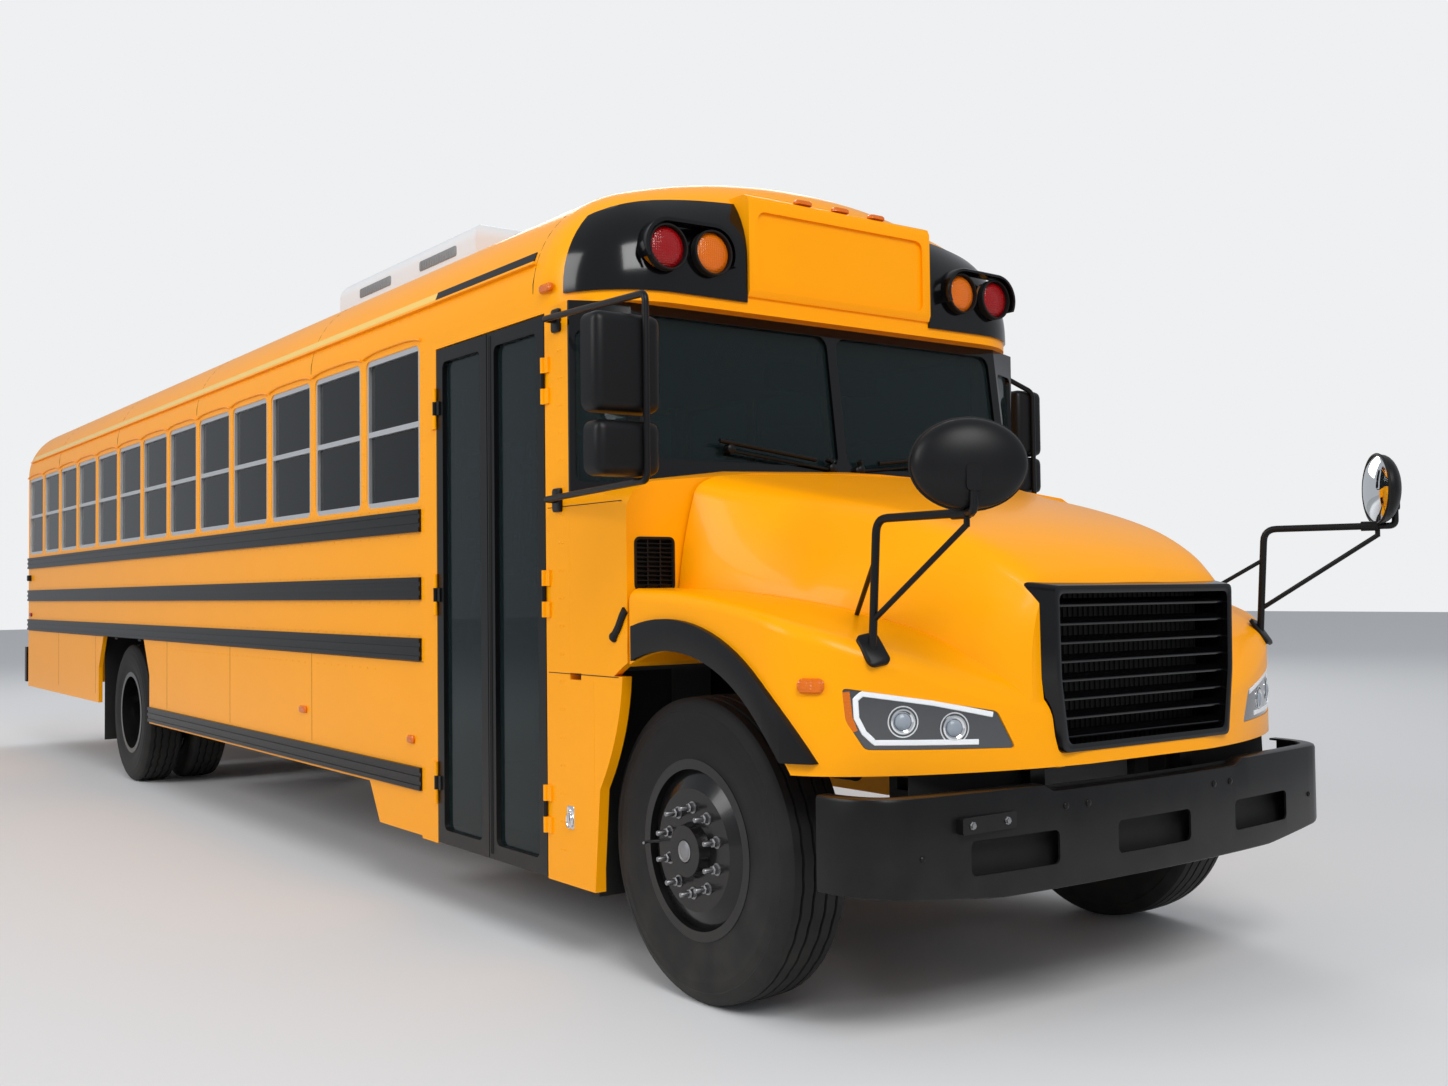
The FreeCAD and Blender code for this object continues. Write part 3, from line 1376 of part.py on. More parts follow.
HINGE_RADIUS = 8.5
HINGE_HEIGHTS = (0.12, 0.5, 0.88)


def hinge_parts(name, axis_x, axis_y, low, high, along, leaf_way):
    """Outboard barrel hinges on an upright axis: the fixed pieces and the leaf's own."""
    fixed, moving = [], []
    part = 60
    for index, share in enumerate(HINGE_HEIGHTS):
        base = low + (high - low) * share - part * 1.5
        for level in range(3):
            z = base + (part + 0.3) * level
            way = leaf_way if level == 1 else -leaf_way
            barrel = rod(f"{name}Barrel{index}{level}", axis_x, axis_y, z, HINGE_RADIUS, part, "Z")
            if along == "Y":
                start = axis_y if way > 0 else axis_y - 40
                strap = box(f"{name}Strap{index}{level}", -HALF - 8, start, z, 8, 40, part)
            else:
                start = axis_x if way > 0 else axis_x - 40
                strap = box(f"{name}Strap{index}{level}", start, REAR_FACE, z, 40, 8, part)
            (moving if level == 1 else fixed).extend([barrel, strap])
    return fixed, moving


def leaf_panel(name, front, length, at, thickness, low, high, frame):
    """A door leaf: a frame round one tall pane."""
    corners = [(front, low), (front + length, low), (front + length, high), (front, high)]
    hole = rounded_corners(front + frame, low + frame, length - 2 * frame, high - low - 2 * frame, 30)
    return panel(name, "YZ_Plane", corners, at, thickness, [hole])


def make_entrance_doors():
    """Two entrance leaves that swing out from the posts."""
    gap = size.leaf_gap
    low, high = size.door_low + gap, size.door_high - gap
    front, rear = AXLE + size.door_front + gap, AXLE + size.door_rear - gap
    length = (rear - front - gap) / 2
    frame, thick = size.leaf_frame, size.leaf_thickness
    surround = [nodes["door_surround"]]
    for label, start in (("front", front), ("rear", rear - length)):
        leaf = leaf_panel(f"Leaf_{label}", start, length, -HALF, thick, low, high, frame)
        axis_y = AXLE + (size.door_front + gap / 2 if label == "front" else size.door_rear - gap / 2)
        way = 1 if label == "front" else -1
        fixed, moving = hinge_parts(f"Door{label}", -HALF - 9, axis_y, low, high, "Y", way)
        surround += fixed
        node(f"entrance_leaf_{label}", fused(f"EntranceLeaf_{label}", [leaf] + moving))
        shell = rounded_corners(start + frame, low + frame, length - 2 * frame, high - low - 2 * frame, 30)
        glass = panel(f"LeafPane_{label}", "YZ_Plane", shell, -HALF + thick / 2, size.glass_thickness)
        node(f"entrance_glass_{label}", glass)
    surround[0].Label = "door_surround_panel"
    node("door_surround", fused("DoorSurroundHinged", surround))


def make_rear_door():
    """Emergency door in the rear wall, with an upper pane."""
    gap = size.leaf_gap
    half = size.rear_door_half_width - gap
    low, high = size.rear_door_low + gap, size.rear_door_high - gap
    corners = [(-half, low), (half, low), (half, high), (-half, high)]
    hole = rounded_corners(-half + 110, 1840, 2 * half - 220, high - 1840 - 110, 50)
    leaf = panel("RearDoorLeaf", "XZ_Plane", corners, -REAR_FACE, 40, [hole])
    axis_x = gap / 2 - size.rear_door_half_width
    fixed, moving = hinge_parts("RearDoor", axis_x, REAR_FACE + 9, low, high, "X", 1)
    node("rear_door", fused("RearDoor", [leaf] + moving))
    nodes["rear_wall"].Label = "rear_wall_panel"
    node("rear_wall", fused("RearWallHinged", [nodes["rear_wall"]] + fixed))
    node("rear_door_glass", panel("RearDoorPane", "XZ_Plane", hole, -REAR_FACE + 20, size.glass_thickness))


def make_stop_arm():
    """Blank eight-sided sign on a hinge bracket on the driver's side."""
    across = size.stop_arm_across
    centre_y, centre_z = AXLE + 1500, 1560
    half = across / 2
    part = half * (math.sqrt(2) - 1)
    corners = [(-half, -part), (-part, -half), (part, -half), (half, -part),
               (half, part), (part, half), (-part, half), (-half, part)]
    corners = [(centre_y + y, centre_z + z) for y, z in corners]
    pin_x, pin_y = HALF + 44, AXLE + 1190
    sign = panel("StopSign", "YZ_Plane", corners, HALF + 40, 8)
    arm = box("StopPlate", HALF + 40, pin_y, 1500, 8, 120, 120)
    sleeve = rod("StopSleeve", pin_x, pin_y, 1500, 15, 120, "Z")
    bore = rod("StopBore", pin_x, pin_y, 1499, 8, 122, "Z")
    node("stop_arm", cut("StopArm", fused("StopArmSolid", [sign, arm, sleeve]), bore))
    foot = box("StopFoot", HALF, pin_y - 40, 1476, 20, 60, 170)
    ears = [box(f"StopEar{z}", HALF, pin_y - 15, z, 60, 30, 18) for z in (1476, 1628)]
    pin = rod("StopPin", pin_x, pin_y, 1476, 7, 170, "Z")
    node("stop_arm_bracket", fused("StopBracket", [foot, pin] + ears))


def make_mudflaps():
    """Rubber flaps behind the front and rear wheels."""
    pieces = []
    for side in (-1, 1):
        x = 820 if side > 0 else -1150
        pieces.append(box(f"FrontFlap{side + 1}", x, AXLE + 612, size.flap_low, 330, 8, SKIRT_TOP - size.flap_low))
        x = 560 if side > 0 else -1180
        pieces.append(box(f"RearFlap{side + 1}", x, REAR_AXLE + 700, size.flap_low, 620, 10, SKIRT_TOP - size.flap_low))
    node("mudflaps", grouped("Mudflaps", pieces))


def make_wipers():
    """Wiper arms and blades across the foot of the windshield."""
    front = float(AXLE + size.cowl_front)
    band = shield_band(0, float(size.shield_frame))
    pieces = []
    for side in (-1, 1):
        pivot = Vector(side * 80, front + 4, 1880)
        tip = Vector(side * 600, front + 8, 1935)
        spindle = Part.makeCylinder(11, 60, pivot, Vector(0, 1, 0)).cut(band)
        spindle = min(spindle.Solids, key=lambda solid: solid.BoundBox.YMin)
        pieces.append(tube([pivot, tip], 6).fuse(spindle))
    node("wipers", feature("Wipers", Part.makeCompound(pieces)))


def build():
    make_roof()
    make_front_cap()
    make_lamp_pods()
    make_lamps()
    make_side_walls()
    make_door_surround()
    make_skirts()
    make_rub_rails()
    make_window_frames()
    make_side_glass()
    make_windshield()
    make_cowl()
    make_floor()
    make_rear_wall()
    make_chassis()
    make_engine()
    make_fuel_tank()
    make_exhaust()
    make_front_axle()
    make_rear_axle()
    make_wheels()
    make_knuckles()
    make_hood()
    make_headlamps()
    make_grille()
    make_flares()
    make_crossview_mirrors()
    make_side_mirrors()
    make_front_bumper()
    make_rear_bumper()
    make_seats()
    make_driver_area()
    make_roof_units()
    make_roof_hatch()
    make_entrance_doors()
    make_rear_door()
    make_stop_arm()
    make_mudflaps()
    make_wipers()


def check_and_export():
    """Stops on any failed object or bad sub-part, then writes one file for each sub-part."""
    doc.recompute()
    for thing in doc.Objects:
        if "Invalid" in thing.State or "Error" in thing.State:
            raise RuntimeError(f"{thing.Label} did not build")
    os.makedirs("parts", exist_ok=True)
    for label, thing in nodes.items():
        shape = thing.Shape
        if shape.isNull() or not shape.isValid() or not shape.Solids:
            raise RuntimeError(f"{label} is not a valid solid")
    for label, thing in nodes.items():
        thing.Shape.exportStep(f"parts/{label}.step")


build()
check_and_export()
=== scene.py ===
"""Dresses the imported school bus: its front end, paint, lamps, tyres, rivets, trim, glass and seats."""
import json
import math

import bmesh
import bpy
from mathutils import Matrix, Vector
from mathutils.bvhtree import BVHTree


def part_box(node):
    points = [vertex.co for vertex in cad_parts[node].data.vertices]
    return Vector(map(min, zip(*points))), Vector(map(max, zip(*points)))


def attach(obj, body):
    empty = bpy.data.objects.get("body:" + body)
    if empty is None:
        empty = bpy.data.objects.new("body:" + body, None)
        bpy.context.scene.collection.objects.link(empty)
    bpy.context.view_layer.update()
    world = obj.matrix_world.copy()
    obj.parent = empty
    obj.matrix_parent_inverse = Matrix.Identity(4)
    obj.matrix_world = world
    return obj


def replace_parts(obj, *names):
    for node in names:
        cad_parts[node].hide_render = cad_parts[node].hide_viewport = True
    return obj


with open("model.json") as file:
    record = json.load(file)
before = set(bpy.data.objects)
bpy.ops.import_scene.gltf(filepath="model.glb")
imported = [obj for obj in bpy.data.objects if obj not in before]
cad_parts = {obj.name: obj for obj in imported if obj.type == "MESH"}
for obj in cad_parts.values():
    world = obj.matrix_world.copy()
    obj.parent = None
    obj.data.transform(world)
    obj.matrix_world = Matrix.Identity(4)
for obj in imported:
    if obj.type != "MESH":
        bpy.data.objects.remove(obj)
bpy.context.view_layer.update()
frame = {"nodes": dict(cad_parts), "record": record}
nodes = frame["nodes"]

# Places taken from the frame, in metres
AXLE = (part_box("front_tyre_right")[0].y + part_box("front_tyre_right")[1].y) / 2
REAR_AXLE = (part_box("rear_tyres_right")[0].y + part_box("rear_tyres_right")[1].y) / 2
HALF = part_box("side_wall_left")[1].x
REAR_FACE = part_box("rear_wall")[1].y

RIGHT, BACK, UP = Vector((1, 0, 0)), Vector((0, 1, 0)), Vector((0, 0, 1))
SIDES = ((-1, "right"), (1, "left"))

# Sizes and places that several functions share, in metres; those along the bus count from the front axle
HUB = 0.515
AHEAD = -1.6
SHOULDER, SHOULDER_UP, CROWN = 0.450, 2.555, 3.000
CAP_FRONT, CAP_CORNER = 0.520, 0.380
WINDOW_START, WINDOW_PITCH, WINDOW_COUNT = 2.031, 0.692, 13
LAMP_CENTRES = ((0.687, 2.699), (0.900, 2.695))
REAR_LAMP_DROP = 0.060
TAIL_ACROSS, TAIL_HEIGHTS = 1.010, (1.560, 1.330)
INLET_ACROSS, INLET_UP = 1.100, 1.485
# Side, name, how much further out the mirror stands, and the way its glass looks
CROSSVIEWS = ((-1, "right", 0.0, Vector((0.555, 0.832, 0)).normalized()),
              (1, "left", 0.150, Vector((-0.7, 0.714, 0)).normalized()))
CROSSVIEW_ACROSS, CROSSVIEW_UP = 1.010, 1.733

# A Mix node's colour sockets, which come after its number and vector ones
MIX_FIRST, MIX_SECOND, MIX_RESULT = 6, 7, 2
DUST_COLOUR = (0.34, 0.31, 0.27, 1)


def feed(tree, sockets, values):
    """Gives each socket its value: a link from another socket, or a plain number or colour."""
    for socket, value in zip(sockets, values):
        if isinstance(value, bpy.types.NodeSocket):
            tree.links.new(value, socket)
        else:
            socket.default_value = value


def mix_rgb(tree, factor, first, second):
    """A colour mix; each input is a socket or a colour."""
    made = tree.nodes.new("ShaderNodeMix")
    made.data_type = "RGBA"
    sockets = (made.inputs["Factor"], made.inputs[MIX_FIRST], made.inputs[MIX_SECOND])
    feed(tree, sockets, (factor, first, second))
    return made.outputs[MIX_RESULT]


def maths(tree, operation, first, second=0.0):
    """A sum of two inputs, each a socket or a number."""
    made = tree.nodes.new("ShaderNodeMath")
    made.operation = operation
    feed(tree, made.inputs, (first, second))
    return made.outputs[0]


def noise(tree, vector, scale, detail=3.0):
    made = tree.nodes.new("ShaderNodeTexNoise")
    made.inputs["Scale"].default_value = scale
    made.inputs["Detail"].default_value = detail
    tree.links.new(vector, made.inputs["Vector"])
    return made.outputs["Fac"]


def new_group(name, inputs, outputs):
    """An empty shader group with named sockets; returns it with its input and output nodes."""
    group = bpy.data.node_groups.new(name, "ShaderNodeTree")
    for label, kind, value in inputs:
        socket = group.interface.new_socket(label, in_out="INPUT", socket_type=kind)
        socket.default_value = value
    for label, kind in outputs:
        group.interface.new_socket(label, in_out="OUTPUT", socket_type=kind)
    return group, group.nodes.new("NodeGroupInput"), group.nodes.new("NodeGroupOutput")


FLOAT, COLOUR = "NodeSocketFloat", "NodeSocketColor"


def build_weathering():
    """Slow colour drift, road dust that fades out above the sills, and roughness to match."""
    group, source, result = new_group(
        "Weathering",
        [("Colour", COLOUR, (1, 1, 1, 1)), ("Roughness", FLOAT, 0.3), ("Drift", FLOAT, 0.04),
         ("Dust", FLOAT, 0.2), ("Dust Height", FLOAT, 0.9)],
        [("Colour", COLOUR), ("Roughness", FLOAT)])
    place = group.nodes.new("ShaderNodeTexCoord").outputs["Object"]
    split = group.nodes.new("ShaderNodeSeparateXYZ")
    group.links.new(place, split.inputs[0])
    drift = maths(group, "MULTIPLY", maths(group, "SUBTRACT", noise(group, place, 2.3), 0.5),
                  source.outputs["Drift"])
    value = group.nodes.new("ShaderNodeHueSaturation")
    group.links.new(maths(group, "ADD", drift, 1.0), value.inputs["Value"])
    group.links.new(source.outputs["Colour"], value.inputs["Color"])
    share = maths(group, "DIVIDE", split.outputs["Z"], source.outputs["Dust Height"])
    low = maths(group, "MAXIMUM", maths(group, "SUBTRACT", 1.0, share), 0.0)
    patches = maths(group, "MULTIPLY", noise(group, place, 9.0, 6.0), low)
    cover = maths(group, "MULTIPLY", patches, source.outputs["Dust"])
    coloured = mix_rgb(group, cover, value.outputs["Color"], DUST_COLOUR)
    group.links.new(coloured, result.inputs["Colour"])
    rough = maths(group, "ADD", source.outputs["Roughness"], maths(group, "MULTIPLY", cover, 0.8))
    group.links.new(rough, result.inputs["Roughness"])
    return group


def build_grain():
    """Fine surface height: moulded grain, cast skin or orange peel, by its scale."""
    group, source, result = new_group(
        "Grain", [("Scale", FLOAT, 300.0), ("Depth", FLOAT, 0.5)], [("Height", FLOAT)])
    place = group.nodes.new("ShaderNodeTexCoord").outputs["Object"]
    made = group.nodes.new("ShaderNodeTexNoise")
    made.inputs["Detail"].default_value = 4
    group.links.new(place, made.inputs["Vector"])
    group.links.new(source.outputs["Scale"], made.inputs["Scale"])
    height = maths(group, "MULTIPLY", made.outputs["Fac"], source.outputs["Depth"])
    group.links.new(height, result.inputs["Height"])
    return group


WEATHERING = build_weathering()
GRAIN = build_grain()


def place_group(tree, group, **values):
    made = tree.nodes.new("ShaderNodeGroup")
    made.node_tree = group
    for name, value in values.items():
        made.inputs[name.replace("_", " ")].default_value = value
    return made


def finish(name, colour, roughness, metallic=0.0, coat=0.0, drift=0.04, dust=0.15, grain=(300.0, 0.4),
           bump=0.02, **sockets):
    """A Principled material under the shared weathering and grain."""
    material = bpy.data.materials.new(name)
    material.use_nodes = True
    tree = material.node_tree
    shader = tree.nodes["Principled BSDF"]
    shader.inputs["Metallic"].default_value = metallic
    shader.inputs["Coat Weight"].default_value = coat
    shader.inputs["Coat Roughness"].default_value = 0.06
    for socket, value in sockets.items():
        shader.inputs[socket.replace("_", " ")].default_value = value
    worn = place_group(tree, WEATHERING, Colour=(*colour, 1), Roughness=roughness, Drift=drift, Dust=dust)
    tree.links.new(worn.outputs["Colour"], shader.inputs["Base Color"])
    tree.links.new(worn.outputs["Roughness"], shader.inputs["Roughness"])
    fine = place_group(tree, GRAIN, Scale=grain[0], Depth=grain[1])
    height = tree.nodes.new("ShaderNodeBump")
    height.inputs["Strength"].default_value = bump
    height.inputs["Distance"].default_value = 0.002
    tree.links.new(fine.outputs["Height"], height.inputs["Height"])
    tree.links.new(height.outputs["Normal"], shader.inputs["Normal"])
    return material


def glass(name, colour, weight, roughness=0.02, facets=0.0, ior=1.45):
    """Glass or a lens; facets gives the moulded prisms of a lamp lens."""
    material = bpy.data.materials.new(name)
    material.use_nodes = True
    tree = material.node_tree
    shader = tree.nodes["Principled BSDF"]
    if facets:
        place = tree.nodes.new("ShaderNodeTexCoord").outputs["Object"]
        prisms = tree.nodes.new("ShaderNodeTexVoronoi")
        prisms.inputs["Scale"].default_value = facets
        prisms.inputs["Randomness"].default_value = 0.12
        tree.links.new(place, prisms.inputs["Vector"])
        height = tree.nodes.new("ShaderNodeBump")
        height.inputs["Strength"].default_value = 0.6
        height.inputs["Distance"].default_value = 0.004
        tree.links.new(prisms.outputs["Distance"], height.inputs["Height"])
        tree.links.new(height.outputs["Normal"], shader.inputs["Normal"])
    shader.inputs["Base Color"].default_value = (*colour, 1)
    shader.inputs["Roughness"].default_value = roughness
    shader.inputs["Transmission Weight"].default_value = weight
    shader.inputs["IOR"].default_value = ior
    return material


YELLOW = (1.0, 0.375, 0.0)
paint = finish("Bus yellow paint", YELLOW, 0.30, coat=0.08, drift=0.05, dust=0.03, grain=(140.0, 0.5),
               bump=0.03, Specular_IOR_Level=0.14)
black_paint = finish("Satin black paint", (0.0035, 0.0035, 0.004), 0.30, dust=0.10, Specular_IOR_Level=0.22)
gloss_black = finish("Gloss black panel", (0.002, 0.002, 0.0025), 0.14, coat=0.15, dust=0.02,
                     Specular_IOR_Level=0.3)
black_plastic = finish("Moulded black plastic", (0.006, 0.006, 0.0065), 0.38, dust=0.05,
                       grain=(900.0, 0.8), bump=0.08, Specular_IOR_Level=0.2)
rubber = finish("Black rubber", (0.010, 0.010, 0.010), 0.6, dust=0.08, grain=(500.0, 0.6), bump=0.1,
                Specular_IOR_Level=0.2)
tyre_rubber = finish("Road tyre rubber", (0.008, 0.008, 0.0085), 0.6, dust=0.12,
                     grain=(260.0, 0.8), bump=0.15, Specular_IOR_Level=0.2)
aluminium = finish("Anodised sash", (0.72, 0.73, 0.74), 0.34, metallic=0.9, dust=0.05)
tinted = glass("Tinted window", (0.012, 0.022, 0.026), 0.85, ior=1.24)
clear = glass("Windshield glass", (0.07, 0.12, 0.13), 0.9, ior=1.24)
red_lens = glass("Red lens", (0.36, 0.003, 0.005), 0.25, 0.1, 110.0)
amber_lens = glass("Amber lens", (0.86, 0.19, 0.003), 0.25, 0.1, 110.0)
lamp_clear = finish("Dark lamp cover", (0.035, 0.038, 0.042), 0.08, coat=1.0, drift=0.3, dust=0.02)
lamp_glass = glass("Projector lens", (0.55, 0.62, 0.70), 0.5, 0.02)
light_guide = finish("White light guide", (0.86, 0.88, 0.90), 0.25, coat=0.6, dust=0.02)
chrome = finish("Bright plated metal", (0.82, 0.83, 0.84), 0.12, metallic=1.0, dust=0.05)
bright_steel = finish("Zinc-plated steel", (0.30, 0.30, 0.31), 0.35, metallic=1.0, dust=0.2)
mirror_silver = finish("Mirror glass", (0.80, 0.83, 0.85), 0.03, metallic=1.0, dust=0.02, bump=0.0)
reflective = finish("Reflective band", (0.95, 0.62, 0.10), 0.3, coat=0.4, grain=(2500.0, 0.6), bump=0.1)
sheet_white = finish("White sign sheet", (0.80, 0.80, 0.78), 0.35, grain=(2500.0, 0.6), bump=0.1)
grey_mesh = finish("Grey perforated plate", (0.22, 0.23, 0.24), 0.5, grain=(1800.0, 1.0), bump=0.3)
fabric = finish("Woven seat cloth", (0.05, 0.055, 0.065), 0.85, grain=(1600.0, 1.0), bump=0.5)
chassis_black = finish("Chassis black", (0.008, 0.008, 0.009), 0.5, dust=0.2, drift=0.1,
                       Specular_IOR_Level=0.25)
cast = finish("Cast engine block", (0.16, 0.16, 0.165), 0.6, metallic=0.6, grain=(200.0, 1.0), bump=0.3)
steel = finish("Heat-dulled steel", (0.35, 0.32, 0.29), 0.45, metallic=0.9, dust=0.4)
vinyl = finish("Seat vinyl", (0.03, 0.045, 0.085), 0.5, grain=(700.0, 0.9), bump=0.2)
floor_rubber = finish("Floor covering", (0.05, 0.05, 0.052), 0.7, grain=(60.0, 0.5), bump=0.1)
white = finish("White roof unit", (0.78, 0.79, 0.8), 0.4, coat=0.2, dust=0.1)
sign_red = finish("Red reflective sheet", (0.6, 0.012, 0.016), 0.35, grain=(2500.0, 0.6), bump=0.1)
rim_black = finish("Black wheel paint", (0.003, 0.003, 0.0035), 0.20, coat=0.15, dust=0.06,
                   Specular_IOR_Level=0.3)

BY_SLOT = {
    "body_paint": paint, "black_paint": black_paint, "black_gloss": gloss_black,
    "black_plastic": black_plastic, "rubber": rubber, "tyre": tyre_rubber, "sash": aluminium,
    "window": tinted, "clear_glass": clear, "red_lens": red_lens, "amber_lens": amber_lens,
    "lamp": lamp_clear, "chassis_black": chassis_black, "engine_metal": cast, "exhaust_steel": steel,
    "seat_vinyl": vinyl, "floor_cover": floor_rubber, "roof_white": white, "sign_red": sign_red,
    "rim_black": rim_black,
}


def dress_nodes():
    """Puts each CAD node's finish on it."""
    for entry in frame["record"]["subparts"]:
        mesh = nodes[entry["node"]].data
        mesh.materials.clear()
        mesh.materials.append(BY_SLOT[entry["material_slot"]])


def spot(across, along, up):
    """A point from the front axle line: across the bus, rearwards and up, in metres."""
    return Vector((across, AXLE + along, up))


def add_piece(name, shell, material, body, smooth=38):
    """Turns a bmesh into a piece: shading, finish and the body it rides on."""
    bmesh.ops.remove_doubles(shell, verts=shell.verts, dist=0.00002)
    bmesh.ops.recalc_face_normals(shell, faces=shell.faces)
    mesh = bpy.data.meshes.new(name)
    shell.to_mesh(mesh)
    shell.free()
    mesh.polygons.foreach_set("use_smooth", [True] * len(mesh.polygons))
    mesh.set_sharp_from_angle(angle=math.radians(smooth))
    mesh.materials.append(material)
    made = bpy.data.objects.new(name, mesh)
    bpy.context.scene.collection.objects.link(made)
    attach(made, body)
    return made


def band(shell, first, second):
    """A row of four-sided faces between two rings of as many corners."""
    for i in range(len(first)):
        j = (i + 1) % len(first)
        shell.faces.new((first[i], first[j], second[j], second[i]))


def cover(shell, rings, closed=False):
    """Skins over rings of as many corners, back to the first ring or flat at both ends."""
    for first, second in zip(rings, rings[1:] + (rings[:1] if closed else [])):
        band(shell, first, second)
    if not closed:
        shell.faces.new(rings[0])
        shell.faces.new(rings[-1])


def oval(centre, across, up, wide, high, count):
    """Points round an oval with the given half-widths."""
    return [centre + across * wide * math.cos(2 * math.pi * i / count)
            + up * high * math.sin(2 * math.pi * i / count) for i in range(count)]


def sweep(shell, path, outward, section, closed=False):
    """Carries a section of (sideways, outward) points along a path whose outward side is given."""
    rings = []
    count = len(path)
    for index, point in enumerate(path):
        before = path[index - 1] if index or closed else point
        after = path[(index + 1) % count] if index < count - 1 or closed else point
        along = (after - before).normalized()
        up = outward[index] if isinstance(outward, list) else outward
        up = (up - along * up.dot(along)).normalized()
        side = along.cross(up)
        rings.append([shell.verts.new(point + side * a + up * b) for a, b in section])
    cover(shell, rings, closed)


def bar(width, height, sink=0.002, edge=0.3):
    """A low bar's section with softened outer edges, sunk a little into what carries it."""
    half, soft = width / 2, min(width / 2, height) * edge
    return [(-half, -sink), (-half, height - soft), (-half + soft, height), (half - soft, height),
            (half, height - soft), (half, -sink)]


def round_section(radius, count=10):
    return [(radius * math.cos(2 * math.pi * i / count), radius * math.sin(2 * math.pi * i / count))
            for i in range(count)]


def lathe(shell, profile, centre, axis, segments=48, waver=None):
    """Turns a closed profile of (along, radius) points; waver shifts marked points to and fro."""
    axis = axis.normalized()
    first = axis.orthogonal().normalized()
    second = axis.cross(first)
    waver = waver or {}
    rings = []
    for step in range(segments):
        turn = 2 * math.pi * step / segments
        out = first * math.cos(turn) + second * math.sin(turn)
        swing = 1 if step % 4 < 2 else -1
        rings.append([shell.verts.new(centre + axis * (along + waver.get(index, 0.0) * swing) + out * radius)
                      for index, (along, radius) in enumerate(profile)])
    cover(shell, rings, True)


def domes(shell, heads, radius, height, count=8):
    """Low round heads, such as rivets and bolts, at each (place, outward) given."""
    for place, out in heads:
        out = out.normalized()
        first = out.orthogonal().normalized()
        second = out.cross(first)
        rings = []
        for share, rise in ((1.0, -0.3), (0.95, 0.35), (0.6, 0.85)):
            ring = oval(place + out * height * rise, first, second, radius * share, radius * share, count)
            rings.append([shell.verts.new(point) for point in ring])
        top = shell.verts.new(place + out * height)
        for low, high in zip(rings, rings[1:]):
            band(shell, low, high)
        for i in range(count):
            shell.faces.new((rings[-1][i], rings[-1][(i + 1) % count], top))


def plate(shell, corners, out, thick, soft=0.002, sink=0.002):
    """A flat plate on the given corners, standing out by thick, with softened outer edges."""
    out = out.normalized()
    centre = sum(corners, Vector()) / len(corners)
    rims = [[c - out * sink for c in corners], [c + out * (thick - soft) for c in corners],
            [c + (centre - c).normalized() * soft * 1.4 + out * thick for c in corners]]
    cover(shell, [[shell.verts.new(point) for point in rim] for rim in rims])


def rounded(centre, right, up, width, height, radius, steps=5):
    """Corners of a rounded rectangle in the plane of right and up."""
    corners = []
    for turn, (sx, sz) in enumerate(((1, 1), (-1, 1), (-1, -1), (1, -1))):
        for step in range(steps + 1):
            angle = math.pi / 2 * (turn + step / steps)
            x = sx * (width / 2 - radius) + radius * math.cos(angle)
            z = sz * (height / 2 - radius) + radius * math.sin(angle)
            corners.append(centre + right * x + up * z)
    return corners


def surface_of(*names):
    """A search tree over nodes' meshes, to set small pieces on curved skins."""
    points, faces = [], []
    for name in names:
        mesh = bpy.data.objects[name].data if name in bpy.data.objects else nodes[name].data
        start = len(points)
        points += [vertex.co.copy() for vertex in mesh.vertices]
        faces += [[start + index for index in polygon.vertices] for polygon in mesh.polygons]
    return BVHTree.FromPolygons(points, faces)


def drop_on(tree, start, direction):
    """Where a line from start first meets the surface, with the outward normal."""
    place, normal, _, _ = tree.ray_cast(start, direction.normalized())
    if normal.dot(direction) > 0:
        normal = -normal
    return place, normal


def islands(name):
    """Boxes of a node's separate solids, as (lowest, highest) corners."""
    mesh = nodes[name].data
    parent = list(range(len(mesh.vertices)))

    def root(index):
        while parent[index] != index:
            parent[index] = parent[parent[index]]
            index = parent[index]
        return index

    for edge in mesh.edges:
        parent[root(edge.vertices[0])] = root(edge.vertices[1])
    groups = {}
    for vertex in mesh.vertices:
        groups.setdefault(root(vertex.index), []).append(vertex.co)
    boxes = [tuple(Vector([end(point[i] for point in points) for i in range(3)]) for end in (min, max))
             for points in groups.values()]
    return sorted(boxes, key=lambda pair: (round(pair[0].y, 2), pair[0].x))


def tyre_profile(groove, wobble):
    """Half-widths and radii of a ribbed road tyre, with the points that waver along the grooves."""
    centres = (-0.072, -0.026, 0.026, 0.072)
    groove_depth, crown_fall, tread_half = 0.012, 0.004, 0.104
    flank = [(-0.088, 0.292), (-0.112, 0.288), (-0.121, 0.300), (-0.118, 0.318), (-0.128, 0.350),
             (-0.1335, 0.388), (-0.1345, 0.408), (-0.1325, 0.428), (-0.134, 0.434), (-0.1325, 0.440),
             (-0.127, 0.466), (-0.1285, 0.470), (-0.1255, 0.476), (-0.119, 0.492), (-0.110, 0.505),
             (-0.104, 0.510)]
    profile = list(flank)
    waver = {}
    for centre in centres:
        crown = HUB - crown_fall * (abs(centre) / tread_half) ** 2
        first = len(profile)
        profile += [(centre - groove / 2, crown), (centre - groove / 3, crown - groove_depth),
                    (centre + groove / 3, crown - groove_depth), (centre + groove / 2, crown)]
        for index in range(first, len(profile)):
            waver[index] = wobble
    profile += [(-across, radius) for across, radius in reversed(flank)]
    return profile, waver


